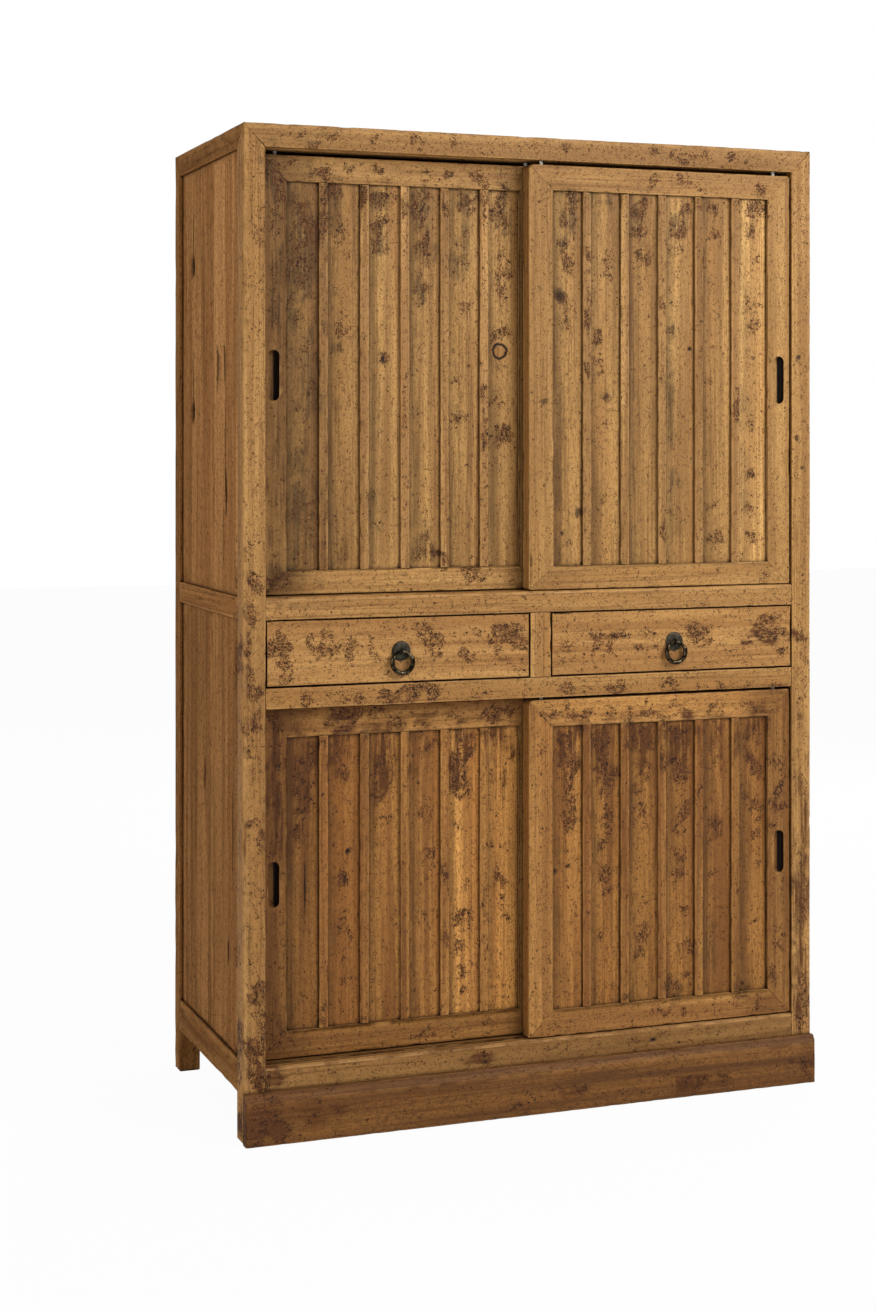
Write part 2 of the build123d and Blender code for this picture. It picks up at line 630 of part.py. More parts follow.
def door_tenons(door):
    """The four hidden tenons on the ends of the door's rails."""
    y = (door.face + door.back) / 2 + DOOR_TENON_THICKNESS / 2
    tenons = []
    for low, high in ((door.z0, door.panel_z0), (door.panel_z1, door.z1)):
        z0, z1 = low + DOOR_TENON_MARGIN, high - DOOR_TENON_MARGIN
        for edge, outwards in ((door.panel_x0, -1), (door.panel_x1, 1)):
            x1 = edge + outwards * DOOR_TENON_LENGTH
            tenons.append(bar(edge, x1, y, y + DOOR_TENON_THICKNESS, z0, z1))
    return tenons


def board_space(door, play):
    """What the thin boards fill, out to their groove in the frame less the play there."""
    reach = BOARD_GROOVE - play
    y0 = door.face + BOARD_RECESS
    x0, x1 = door.panel_x0 - reach, door.panel_x1 + reach
    z0, z1 = door.panel_z0 - reach, door.panel_z1 + reach
    return bar(x0, x1, y0, y0 + BOARD_THICKNESS, z0, z1)


def finger_recess(door):
    x = door.side * (INNER - DOOR_PLAY - STILE_WIDTH / 2)
    shape = Plane.XZ.offset(-door.face) * Pos(x, door.recess_z) * Rot(0, 0, 90)
    pocket = extrude(shape * SlotOverall(door.recess_length, RECESS_WIDTH), -RECESS_DEPTH)
    return chamfer(pocket.faces().sort_by(Axis.Y)[-1].edges(), RECESS_FLOOR_BEVEL)


def door_stiles(door):
    """Both stiles, mitred to the rails; the outer one has the finger recess."""
    stiles = []
    for outer, inner in ((door.x0, door.panel_x0), (door.x1, door.panel_x1)):
        outline = [(outer, door.z0), (inner, door.panel_z0), (inner, door.panel_z1), (outer, door.z1)]
        stile = slab(outline, door.face, door.back) & door_blank(door)
        stile = cut(stile, board_space(door, 0), *door_tenons(door))
        stiles.append(cut(stile, finger_recess(door)))
    return stiles


def pin_places(door):
    y = (door.face + door.back) / 2
    return [(door.x0 + PIN_INSET, y), (door.x1 - PIN_INSET, y)]


def guide_pins(door):
    """Round pins in the top edge that run in the guide groove above the door."""
    height = PIN_SEAT + door.top_gap + PIN_ENTRY
    z = door.z1 - PIN_SEAT + height / 2
    return [Pos(x, y, z) * Cylinder(PIN_DIAMETER / 2, height) for x, y in pin_places(door)]


def door_rails(door):
    """Top rail with its pin holes, and bottom rail with the tongue that runs in the sill."""
    corners = ((door.x0, door.panel_x0), (door.x1, door.panel_x1))
    (left, left_inner), (right, right_inner) = corners
    bottom = [(left, door.z0), (right, door.z0), (right_inner, door.panel_z0), (left_inner, door.panel_z0)]
    top = [(left, door.z1), (right, door.z1), (right_inner, door.panel_z1), (left_inner, door.panel_z1)]
    blank = door_blank(door)
    rails = []
    for outline, tenons in ((bottom, door_tenons(door)[:2]), (top, door_tenons(door)[2:])):
        rail = slab(outline, door.face, door.back) & blank
        rail = cut(rail, board_space(door, 0))
        for tenon in tenons:
            rail += tenon
        rails.append(rail)
    y = (door.face + door.back) / 2
    tongue_bottom = door.z0 - DOOR_LIFT - TRACK_DEPTH + TONGUE_PLAY
    x0, x1 = door.x0 + DOOR_BOTTOM_CORNER, door.x1 - DOOR_BOTTOM_CORNER
    rails[0] += bar(x0, x1, y - TONGUE_WIDTH / 2, y + TONGUE_WIDTH / 2, tongue_bottom, door.z0)
    for pin in guide_pins(door):
        rails[1] -= pin
    return rails


def batten_places(door):
    """Left edges of the battens, evenly spaced across the door's opening."""
    opening = door.panel_x1 - door.panel_x0
    visible_board = (opening - (BOARD_COUNT - 1) * BATTEN_WIDTH) / BOARD_COUNT
    pitch = visible_board + BATTEN_WIDTH
    return [door.panel_x0 + visible_board + i * pitch for i in range(BOARD_COUNT - 1)]


def door_boards(door):
    """Thin boards whose joints lie behind the middle of each batten."""
    reach = BOARD_GROOVE - BOARD_PLAY
    joints = [x + BATTEN_WIDTH / 2 for x in batten_places(door)]
    edges = [door.panel_x0 - reach] + joints + [door.panel_x1 + reach]
    y0 = door.face + BOARD_RECESS
    z0, z1 = door.panel_z0 - reach, door.panel_z1 + reach
    return [bar(a, b, y0, y0 + BOARD_THICKNESS, z0, z1) for a, b in zip(edges, edges[1:])]


def door_battens(door):
    y0, y1 = door.face + BATTEN_DROP, door.face + BOARD_RECESS
    return [bar(x, x + BATTEN_WIDTH, y0, y1, door.panel_z0, door.panel_z1) for x in batten_places(door)]


# ---- Drawers -------------------------------------------------------------------------------


def drawer_edges(side):
    """Left and right edge of a drawer front."""
    near, far = DIVIDER_WIDTH / 2 + DRAWER_GAP, INNER - DRAWER_GAP
    return sorted((side * near, side * far))


DRAWER_BOTTOM = LOWER_RAIL_TOP + DRAWER_SLIDE_PLAY
DRAWER_SIDE_TOP = DRAWER_BOTTOM + DRAWER_SIDE_HEIGHT
DRAWER_PANEL_BOTTOM = DRAWER_BOTTOM + DRAWER_BOTTOM_RISE
DRAWER_PANEL_TOP = DRAWER_PANEL_BOTTOM + DRAWER_BOTTOM_THICKNESS
DRAWER_FRONT_BACK = FRONT + DRAWER_FRONT_THICKNESS
DRAWER_BACK = FRONT + DRAWER_LENGTH
DRAWER_BACK_FRONT = DRAWER_BACK - 2 * DRAWER_SIDE_THICKNESS
PULL_HEIGHT = (LOWER_RAIL_TOP + UPPER_RAIL_BOTTOM) / 2 - PULL_DROP


def dovetails(x0, x1):
    """The tails at the front end of a drawer side, widest at their tips."""
    low = LOWER_RAIL_TOP + DRAWER_GAP + HALF_PIN
    high = DRAWER_SIDE_TOP - HALF_PIN
    pitch = (high - low + PIN_NECK) / TAIL_COUNT
    flare = TAIL_LENGTH * math.tan(math.radians(TAIL_SLOPE))
    y_tip = DRAWER_FRONT_BACK - TAIL_LENGTH
    tails = []
    for i in range(TAIL_COUNT):
        a = low + i * pitch
        b = a + pitch - PIN_NECK
        tip, root = [(y_tip, a), (y_tip, b)], [(DRAWER_FRONT_BACK, b - flare), (DRAWER_FRONT_BACK, a + flare)]
        tails.append(profile(tip + root, x0, x1))
    return tails


def side_slots(side):
    """x range of the two drawer sides."""
    x0, x1 = drawer_edges(side)
    return [(x0, x0 + DRAWER_SIDE_THICKNESS), (x1 - DRAWER_SIDE_THICKNESS, x1)]


def drawer_bottom_space(side, play):
    x0, x1 = drawer_edges(side)
    reach = DRAWER_SIDE_THICKNESS - DRAWER_BOTTOM_GROOVE + play
    y0 = DRAWER_FRONT_BACK - DRAWER_BOTTOM_GROOVE + play
    return bar(x0 + reach, x1 - reach, y0, DRAWER_BACK, DRAWER_PANEL_BOTTOM, DRAWER_PANEL_TOP)


def drawer_back(side):
    """Back board, housed in both sides and resting on the bottom board."""
    x0, x1 = drawer_edges(side)
    inset = DRAWER_SIDE_THICKNESS - DRAWER_HOUSING
    y1 = DRAWER_BACK_FRONT + DRAWER_SIDE_THICKNESS
    return bar(x0 + inset, x1 - inset, DRAWER_BACK_FRONT, y1, DRAWER_PANEL_TOP, DRAWER_SIDE_TOP)


def staple_holes(x, y0, y1):
    radius = STAPLE_WIRE / 2 + STAPLE_HOLE_PLAY
    centre = Pos(x, (y0 + y1) / 2, PULL_HEIGHT) * Rot(90, 0, 0)
    hole = Cylinder(radius, y1 - y0)
    return [centre * Pos(0, offset, 0) * hole for offset in (-EYE_RADIUS, EYE_RADIUS)]


def drawer_front(side):
    x0, x1 = drawer_edges(side)
    z0, z1 = LOWER_RAIL_TOP + DRAWER_GAP, UPPER_RAIL_BOTTOM - DRAWER_GAP
    front = bar(x0, x1, FRONT, DRAWER_FRONT_BACK, z0, z1)
    front = fillet(front.faces().sort_by(Axis.Y)[0].edges(), DRAWER_ARRIS)
    for slot in side_slots(side):
        front = cut(front, *dovetails(*slot))
    front = cut(front, drawer_bottom_space(side, 0))
    return cut(front, *staple_holes((x0 + x1) / 2, FRONT, DRAWER_FRONT_BACK))


def drawer_sides(side):
    pieces = []
    for a, b in side_slots(side):
        piece = bar(a, b, DRAWER_FRONT_BACK, DRAWER_BACK, DRAWER_BOTTOM, DRAWER_SIDE_TOP)
        for tail in dovetails(a, b):
            piece += tail
        pieces.append(cut(piece, drawer_bottom_space(side, 0), drawer_back(side)))
    return pieces


# ---- Ring pulls ------------------------------------------------------------------------------


def pull_x(side):
    x0, x1 = drawer_edges(side)
    return (x0 + x1) / 2


def pull_backplate(side):
    """Domed disc with a thin rim, pierced for the legs of the staple."""
    rim = (PLATE_RADIUS, -PLATE_RIM)
    crown = (0, -PLATE_DOME)
    edges = Line((0, 0), (PLATE_RADIUS, 0)) + Line((PLATE_RADIUS, 0), rim)
    edges += TangentArc(crown, rim, tangent=(1, 0), tangent_from_first=True)
    edges += Line(crown, (0, 0))
    disc = Pos(pull_x(side), FRONT, PULL_HEIGHT) * revolve(make_face(edges), Axis.Y)
    return cut(disc, *staple_holes(pull_x(side), FRONT - 2 * PLATE_DOME, FRONT))


def pull_staple(side):
    """Wire with an eye in front of the plate and two legs bent sharply behind the drawer front."""
    wire = STAPLE_WIRE / 2
    y_eye = FRONT - EYE_STANDOFF
    y_clinch = DRAWER_FRONT_BACK + wire + CLINCH_PLAY
    top, bottom = PULL_HEIGHT + EYE_RADIUS, PULL_HEIGHT - EYE_RADIUS
    upper_leg = Polyline((y_clinch, top + STAPLE_CLINCH), (y_clinch, top), (y_eye, top))
    eye = ThreePointArc((y_eye, top), (y_eye - EYE_RADIUS, PULL_HEIGHT), (y_eye, bottom))
    lower_leg = Polyline((y_eye, bottom), (y_clinch, bottom), (y_clinch, bottom - STAPLE_CLINCH))
    path = Plane.YZ.offset(pull_x(side)) * Wire(upper_leg.edges() + eye.edges() + lower_leg.edges())
    start = Plane(origin=path @ 0, z_dir=path % 0)
    return sweep(start * Circle(wire), path=path, transition=Transition.RIGHT)


def pull_ring(side):
    """Round ring whose wire hangs in the eye, a little above its lowest point."""
    sag = EYE_RADIUS - STAPLE_WIRE / 2 - RING_WIRE / 2 - RING_SEAT
    centre = Pos(pull_x(side), FRONT - EYE_STANDOFF, PULL_HEIGHT - sag - RING_RADIUS)
    return centre * Rot(90, 0, 0) * Torus(RING_RADIUS, RING_WIRE / 2)


# ---- The cabinet -------------------------------------------------------------------------------


def save_frame():
    for name, side in (("left", LEFT), ("right", RIGHT)):
        save(f"front_post_{name}", post(side, True))
        save(f"rear_post_{name}", post(side, False))
        save(f"side_rails_{name}", *side_rails(side))
        save(f"side_panels_{name}", *side_panels(side))
    save("top_front_rail", top_front_rail())
    save("top_back_rail", top_back_rail())
    save("top_side_rails", top_side_rail(LEFT), top_side_rail(RIGHT))
    save("upper_mid_rail", upper_mid_rail())
    save("lower_mid_rail", lower_mid_rail())
    save("sill_rail", sill_rail())
    save("drawer_divider", drawer_divider())
    save("plinth_board", plinth_board())
    save("back_rails", *back_rails())
    save("door_jambs", *door_jambs())


def save_inside():
    save("top_boards", *top_boards())
    save("back_boards", *back_boards())
    save("upper_floor_boards", *floor_boards(UPPER_RAIL_TOP))
    save("lower_floor_boards", *floor_boards(SILL_TOP))
    save("drawer_dust_boards", *dust_boards())
    save("shelves", *(shelf(level) for level in SHELF_LEVELS))
    save("shelf_bearers", *bearers())
    save("drawer_runners", side_runner(LEFT), side_runner(RIGHT), centre_runner(), *drawer_stops())


def save_doors():
    for level in ("upper", "lower"):
        for name, side in (("left", LEFT), ("right", RIGHT)):
            door = DoorSizes(level, side)
            node = f"{level}_{name}_door"
            save(f"{node}_stiles", *door_stiles(door))
            save(f"{node}_rails", *door_rails(door))
            save(f"{node}_boards", *door_boards(door))
            save(f"{node}_battens", *door_battens(door))
            save(f"{node}_guide_pins", *guide_pins(door))


def save_drawers():
    for name, side in (("left", LEFT), ("right", RIGHT)):
        node = f"{name}_drawer"
        save(f"{node}_front", drawer_front(side))
        save(f"{node}_sides", *drawer_sides(side))
        save(f"{node}_back", drawer_back(side))
        save(f"{node}_bottom", drawer_bottom_space(side, BOARD_PLAY))
        save(f"{node}_pull_backplate", pull_backplate(side))
        save(f"{node}_pull_staple", pull_staple(side))
        save(f"{node}_pull_ring", pull_ring(side))


os.makedirs("parts", exist_ok=True)
save_frame()
save_inside()
save_doors()
save_drawers()
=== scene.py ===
import json
import math
from bisect import bisect

import bmesh
import bpy
import numpy as np
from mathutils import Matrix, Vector


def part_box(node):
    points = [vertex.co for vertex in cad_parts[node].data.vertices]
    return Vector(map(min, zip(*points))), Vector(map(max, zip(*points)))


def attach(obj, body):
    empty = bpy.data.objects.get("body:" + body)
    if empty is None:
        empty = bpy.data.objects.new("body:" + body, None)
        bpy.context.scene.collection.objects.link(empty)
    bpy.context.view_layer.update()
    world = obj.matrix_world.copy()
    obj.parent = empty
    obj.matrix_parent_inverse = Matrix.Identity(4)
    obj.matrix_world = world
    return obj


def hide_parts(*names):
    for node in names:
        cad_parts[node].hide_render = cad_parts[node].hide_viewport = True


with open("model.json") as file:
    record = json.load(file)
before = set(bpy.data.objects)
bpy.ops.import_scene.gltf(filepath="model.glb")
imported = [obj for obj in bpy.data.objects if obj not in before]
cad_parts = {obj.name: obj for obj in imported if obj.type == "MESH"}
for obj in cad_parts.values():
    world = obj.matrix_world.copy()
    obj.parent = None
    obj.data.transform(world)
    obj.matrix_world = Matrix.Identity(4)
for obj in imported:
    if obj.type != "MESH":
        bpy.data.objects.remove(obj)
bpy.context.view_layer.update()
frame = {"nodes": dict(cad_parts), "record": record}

X, Y, Z = 0, 1, 2
MM = 1000  # millimetres in a metre

# ---- Camera: the photograph's viewpoint, level, with the lens shifted down ------------------
CAMERA_PLACE = (-1.6596, -4.1540, 1.3099)
CAMERA_TURN = math.radians(-20.367)
FOCAL_PIXELS = 2166.9
IMAGE_WIDTH = 876
IMAGE_HEIGHT = 1313
HORIZON_ROW = 439.5
SENSOR = 36.0

# ---- Light: area lamps as (name, place, target, side, watts), and the world ------------------
LAMPS = (
    ("key", (1.9, -3.2, 3.1), (0, -0.2, 1.1), 2.2, 124),
    ("fill", (-3.6, -2.8, 1.8), (0, 0, 0.9), 2.6, 43),
    ("back", (2.4, 3.6, 2.6), (0.1, 0.2, 1.0), 2.4, 75),
)
WORLD_LIGHT = 0.39
WHITE = (1, 1, 1, 1)
FLOOR_SIDE = 30
FLOOR_COLOUR = (0.86, 0.86, 0.86, 1)
FLOOR_GLOW = 0.96  # how much of the floor's own white the camera sees, so that its shadow stays faint

# ---- The mesh of each worn piece, in metres --------------------------------------------------
WELD = 2e-6  # vertices nearer than this are one
FLAT_ANGLE = math.radians(0.5)
BEVEL_ANGLE = math.radians(50)  # edges sharper than this are eased
SHADE_ANGLE = math.radians(38)  # edges sharper than this are shaded as edges
WORN_ANGLE = math.radians(8)  # edges sharper than this show wear
FRONT_GRID = 0.012  # spacing of the cuts that make a piece dense enough to wear
PLAIN_GRID = 0.035  # the same on the sides, top and back, which carry no stains
INNER_GRID = 0.06
GUARD = 0.003  # extra cut beside each outer face, which keeps the edge wear narrow
INSIDE = 0.001  # a point this far behind a face lies in the face's own solid
ARRIS = 0.0013
LEAST_ARRIS = 0.012  # shorter edges stay sharp
CASE_ARRIS = 0.0045
CASE_STEPS = (20, 40, 60, 80)  # where a case arris is cut, in degrees round it
BOARD_CROWN = 0.0016  # how far a door board falls away towards its edges
BATTEN_SETTLE = 0.9  # how much of that the battens' backs follow
BATTEN_COVER = 0.009  # width of a board's edge that lies under a batten
WAVE_DEPTH = 0.0007
CHIP_DEPTH = 0.0012
ALONG_STRETCH = 5  # how much longer the waves are along the grain than across it
STAIN_DEPTH = -0.17  # stains are on what lies in front of this, along Y

# ---- Finger recesses of the doors and the ring pulls, in metres ------------------------------
RECESS_PLACE = 0.529  # middle of a recess, left or right of the cabinet's middle
RECESS_HALF_WIDTH = 0.0125
RECESS_CLEAN_RIM = 0.0028
RECESS_DEPTH = 0.0145
RECESS_MARGIN = 0.15
RECESS_SHADOW_STEP = (0.0005, 0.004)  # painted shadow: right of its middle a recess is painted dark between these
# painted light: the lit left of a recess loses most of the painted crevice shade
RECESS_LIT = -0.7
# how dark the painted shadow in the right of a recess is
RECESS_SHADOW = 1.0
RING_SWELL = 0.0016  # how much thicker a ring's radius is away from its eye
RING_THIN = (0.007, 0.017)  # below its top a ring thickens between these


def rgb(red, green, blue):
    """A colour written in display values from 0 to 255, as linear light."""
    def linear(value):
        v = value / 255
        return v / 12.92 if v <= 0.04045 else ((v + 0.055) / 1.055) ** 2.4
    return (linear(red), linear(green), linear(blue), 1.0)


# ---- Smooth random fields, the same on each run ---------------------------------------------


class Waves:
    """A smooth random field in space, made from plane waves of one typical length."""

    COUNT = 24

    def __init__(self, seed, length, stretch=(1, 1, 1)):
        random = np.random.default_rng(seed)
        directions = random.normal(size=(self.COUNT, 3))
        directions /= np.linalg.norm(directions, axis=1, keepdims=True)
        pace = random.uniform(0.6, 1.6, size=(self.COUNT, 1)) * 2 * math.pi / length
        self.vectors = directions * pace / np.array(stretch)
        self.phases = random.uniform(0, 2 * math.pi, size=self.COUNT)
        self.scale = math.sqrt(2 / self.COUNT)

    def __call__(self, points):
        return np.cos(points @ self.vectors.T + self.phases).sum(axis=1) * self.scale


def smooth_step(low, high, value):
    t = np.clip((value - low) / (high - low), 0, 1)
    return t * t * (3 - 2 * t)


# ---- Stains on the front, in millimetres: x from the middle, z from the floor -----------------
# Each mark is (x, z, half width, half height, strength from 0 to 1).

FLECKS = {  # clusters of small dark flecks
    "left drawer": [
        (-524, 920, 32, 24, 1), (-525, 874, 27, 24, 0.6), (-470, 922, 36, 20, 0.7),
        (-436, 932, 16, 22, 0.7), (-427, 902, 17, 12, 0.9), (-385, 926, 26, 13, 0.7),
        (-390, 899, 17, 11, 0.7), (-345, 928, 14, 13, 0.7), (-343, 897, 20, 13, 0.8),
        (-250, 953, 28, 9, 0.6), (-236, 926, 38, 20, 0.8), (-214, 899, 22, 13, 0.7),
        (-160, 922, 22, 20, 0.6), (-155, 897, 22, 15, 0.9), (-100, 930, 44, 22, 0.7), (-66, 928, 34, 25, 1),
        (-75, 897, 32, 15, 0.7), (-36, 895, 17, 40, 0.7), (-45, 858, 25, 14, 0.5),
    ],
    "right drawer": [
        (60, 902, 32, 24, 0.5), (112, 900, 27, 22, 0.7), (150, 918, 36, 14, 0.9), (150, 895, 27, 13, 0.7),
        (187, 929, 24, 14, 0.6), (76, 878, 36, 16, 0.45), (240, 922, 26, 16, 0.6), (240, 898, 32, 9, 0.8),
        (336, 925, 38, 20, 0.7), (362, 904, 32, 18, 0.6), (398, 892, 32, 11, 0.6), (480, 941, 28, 14, 0.8),
        (502, 917, 50, 12, 1), (497, 900, 48, 10, 0.9), (527, 941, 17, 18, 0.8), (530, 884, 24, 13, 0.8),
        (572, 905, 14, 9, 0.7), (532, 957, 18, 8, 0.6),
    ],
    "rails between the doors and the drawers": [
        (-480, 822, 22, 16, 0.8), (-430, 818, 20, 15, 0.5), (-385, 818, 28, 15, 0.7),
        (-322, 822, 25, 18, 0.9), (-282, 824, 27, 18, 0.95), (-240, 829, 38, 18, 1),
        (-150, 820, 32, 15, 0.45), (-115, 815, 22, 13, 0.5), (-36, 818, 18, 15, 0.7),
        (60, 821, 22, 16, 0.65), (112, 815, 22, 11, 0.45), (170, 818, 20, 16, 0.75),
        (284, 820, 24, 17, 0.9), (352, 812, 22, 13, 0.6), (406, 813, 32, 15, 0.7), (456, 812, 22, 11, 0.5),
        (506, 809, 36, 9, 0.7), (-470, 1003, 18, 8, 0.35), (-300, 1004, 16, 7, 0.3),
        (120, 1006, 18, 6, 0.3),
    ],
    "left front post": [
        (-562, 1690, 22, 24, 0.5), (-590, 1645, 12, 18, 0.4), (-578, 1500, 20, 70, 0.3),
        (-590, 1100, 15, 32, 0.5), (-572, 1040, 22, 42, 0.7), (-585, 985, 16, 36, 0.75),
        (-590, 916, 13, 30, 0.95), (-588, 872, 16, 32, 0.8), (-570, 838, 16, 18, 0.95),
        (-582, 780, 20, 34, 0.7), (-585, 735, 18, 40, 0.6), (-580, 600, 18, 20, 0.7),
        (-568, 560, 16, 22, 0.6), (-585, 480, 18, 40, 0.4), (-588, 400, 16, 30, 0.4),
        (-590, 330, 14, 34, 0.65), (-572, 285, 26, 30, 1), (-566, 235, 18, 30, 0.8), (-577, 175, 28, 38, 1),
        (-575, 130, 26, 34, 1),
    ],
    "right front post": [
        (575, 1680, 13, 34, 0.45), (578, 1755, 14, 34, 0.35), (580, 1250, 14, 40, 0.3),
        (576, 1810, 14, 20, 0.4), (584, 870, 14, 24, 0.5), (582, 790, 16, 34, 0.5), (585, 590, 12, 40, 0.4),
        (580, 400, 20, 60, 0.5), (584, 300, 16, 50, 0.5), (584, 185, 16, 44, 0.95), (578, 130, 20, 34, 0.9),
    ],
    "top rail": [
        (-470, 1880, 26, 12, 0.5), (-430, 1882, 16, 12, 0.7), (-380, 1880, 14, 12, 0.6),
        (-345, 1876, 16, 12, 0.75), (-270, 1884, 18, 10, 0.75), (-240, 1880, 12, 10, 0.5),
        (-182, 1878, 14, 12, 0.7), (-20, 1882, 14, 13, 0.8), (50, 1880, 13, 12, 0.6),
        (118, 1884, 12, 8, 0.4), (195, 1872, 13, 11, 0.6), (246, 1880, 14, 12, 0.7),
        (292, 1880, 16, 13, 0.85), (325, 1877, 15, 14, 0.85), (360, 1880, 14, 12, 0.7),
        (412, 1881, 16, 13, 0.8), (455, 1876, 24, 11, 0.6),
    ],
    "upper left door, frame": [
        (-520, 1810, 34, 34, 0.8), (-524, 1720, 20, 80, 0.55), (-524, 1560, 18, 60, 0.35),
        (-495, 1832, 18, 12, 0.9), (-432, 1830, 15, 13, 0.8), (-382, 1827, 15, 13, 0.75),
        (-326, 1830, 15, 13, 0.8), (-221, 1826, 12, 16, 0.8), (-176, 1826, 15, 13, 0.8),
        (-122, 1827, 28, 13, 0.85), (-68, 1826, 12, 10, 0.5), (-127, 1046, 22, 16, 1),
        (-52, 1036, 14, 11, 0.6), (-240, 1044, 14, 10, 0.5), (-192, 1050, 17, 10, 0.6),
        (-330, 1048, 24, 8, 0.4),
    ],
    "upper left door, boards": [
        (-401, 1782, 14, 16, 0.95), (-401, 1735, 14, 18, 0.6), (-398, 1690, 20, 32, 0.55),
        (-392, 1522, 14, 18, 0.8), (-392, 1090, 14, 20, 0.55), (-311, 1776, 28, 18, 1),
        (-316, 1728, 20, 27, 0.9), (-320, 1685, 18, 20, 0.6), (-229, 1765, 20, 18, 0.7),
        (-228, 1615, 16, 22, 0.5), (-206, 1090, 16, 14, 0.95), (-141, 1782, 24, 17, 0.9),
        (-144, 1690, 16, 20, 0.5), (-141, 1570, 14, 27, 0.7), (-161, 1425, 10, 12, 0.8),
        (-150, 1356, 20, 13, 0.75), (-137, 1258, 12, 18, 0.6), (-136, 1152, 12, 22, 0.65),
        (-66, 1758, 24, 40, 0.9), (-62, 1640, 24, 70, 0.55), (-68, 1522, 22, 17, 0.85),
        (-68, 1440, 14, 10, 0.4), (-72, 1380, 17, 12, 0.75), (-61, 1320, 22, 20, 0.85),
    ],
    "upper left door, battens": [
        (-430, 1750, 9, 70, 0.8), (-349, 1775, 9, 36, 0.95), (-267, 1772, 9, 46, 0.75),
        (-183, 1778, 9, 36, 0.9), (-101, 1775, 9, 46, 0.8), (-101, 1350, 9, 115, 0.95),
        (-267, 1340, 9, 60, 0.55), (-430, 1130, 9, 60, 0.5), (-101, 1130, 9, 50, 0.5),
        (-183, 1080, 9, 18, 0.9), (-349, 1500, 9, 120, 0.35),
    ],
    "upper right door, frame": [
        (248, 1832, 14, 14, 0.65), (312, 1828, 24, 17, 0.75), (350, 1812, 12, 10, 0.5),
        (482, 1820, 22, 12, 0.75), (205, 1834, 20, 8, 0.4), (512, 1775, 8, 26, 0.6),
        (492, 1030, 12, 16, 0.85), (384, 1050, 14, 8, 0.6), (250, 1046, 22, 8, 0.4),
        (176, 1040, 16, 8, 0.35), (10, 1380, 10, 16, 0.5),
    ],
    "upper right door, boards": [
        (66, 1790, 14, 13, 0.7), (65, 1658, 17, 46, 0.75), (62, 1550, 14, 32, 0.5),
        (64, 1450, 10, 60, 0.35), (63, 1106, 14, 10, 0.65), (148, 1650, 16, 42, 0.5),
        (126, 1515, 14, 15, 0.95), (129, 1466, 18, 11, 0.85), (138, 1444, 13, 9, 0.85),
        (133, 1336, 16, 9, 0.65), (133, 1306, 12, 9, 0.55), (133, 1195, 14, 12, 0.45),
        (222, 1772, 24, 20, 1), (218, 1720, 24, 17, 0.85), (218, 1670, 24, 27, 0.8),
        (218, 1610, 18, 20, 0.4), (222, 1105, 20, 12, 0.4), (311, 1768, 20, 14, 1),
        (308, 1730, 22, 22, 0.95), (308, 1695, 16, 14, 0.75), (308, 1645, 16, 22, 0.4),
        (303, 1102, 14, 16, 0.65), (391, 1772, 20, 22, 0.85), (383, 1722, 20, 18, 0.7),
        (378, 1672, 16, 18, 0.6), (378, 1500, 12, 14, 0.4), (378, 1425, 12, 11, 0.85),
        (368, 1370, 10, 8, 0.7), (383, 1175, 12, 9, 0.65), (388, 1110, 18, 13, 0.95),
        (471, 1775, 20, 22, 0.85), (473, 1732, 20, 22, 0.7), (478, 1680, 16, 16, 0.5),
        (473, 1582, 20, 17, 0.55), (478, 1542, 15, 20, 0.75), (463, 1476, 15, 18, 0.6),
        (463, 1340, 15, 18, 0.5), (473, 1240, 17, 12, 0.85), (468, 1170, 16, 9, 0.7),
        (473, 1115, 20, 16, 0.75),
    ],
    "upper right door, battens": [
        (104, 1682, 9, 14, 0.95), (104, 1640, 9, 12, 0.8), (104, 1555, 9, 56, 0.85),
        (104, 1460, 9, 24, 0.75), (185, 1500, 9, 60, 0.4), (268, 1572, 9, 16, 0.85),
        (268, 1450, 9, 40, 0.5), (268, 1130, 9, 28, 0.85), (350, 1780, 9, 26, 0.8),
        (350, 1480, 9, 40, 0.45), (434, 1380, 9, 34, 0.9), (434, 1310, 9, 18, 0.85),
        (434, 1770, 9, 30, 0.5),
    ],
    "lower left door, frame": [
        (-416, 775, 64, 24, 0.7), (-340, 786, 52, 16, 0.65), (-286, 770, 24, 22, 0.8),
        (-176, 772, 42, 18, 0.55), (-86, 770, 24, 18, 0.9), (-48, 772, 22, 22, 0.7),
        (-521, 700, 22, 100, 0.55), (-524, 560, 18, 60, 0.4), (-526, 180, 28, 60, 0.6),
        (-236, 160, 34, 13, 0.6), (-86, 176, 14, 11, 0.75), (-150, 165, 22, 9, 0.4),
        (-400, 168, 40, 9, 0.3),
    ],
    "lower left door, boards": [
        (-476, 680, 25, 66, 0.8), (-476, 608, 24, 32, 0.7), (-471, 563, 22, 18, 0.9),
        (-466, 255, 14, 14, 0.5), (-386, 680, 22, 32, 0.7), (-391, 620, 20, 32, 0.4),
        (-378, 522, 8, 10, 0.9), (-391, 474, 14, 15, 0.95), (-391, 400, 15, 28, 0.55),
        (-381, 362, 15, 15, 0.7), (-391, 320, 14, 15, 0.85), (-389, 275, 12, 13, 0.95),
        (-321, 650, 16, 32, 0.6), (-306, 580, 16, 18, 0.6), (-211, 720, 26, 32, 0.6),
        (-221, 580, 18, 22, 0.55), (-216, 510, 18, 9, 0.7), (-146, 690, 26, 46, 0.9),
        (-146, 635, 20, 26, 1), (-146, 560, 15, 15, 0.65), (-146, 440, 15, 13, 0.55),
        (-144, 375, 21, 19, 0.95), (-144, 324, 17, 11, 0.95), (-146, 270, 15, 21, 0.95),
        (-141, 240, 13, 11, 0.85), (-81, 515, 14, 11, 0.75), (-64, 440, 17, 21, 0.8),
        (-61, 413, 15, 11, 0.95), (-61, 369, 15, 11, 0.85),
    ],
    "lower left door, battens": [
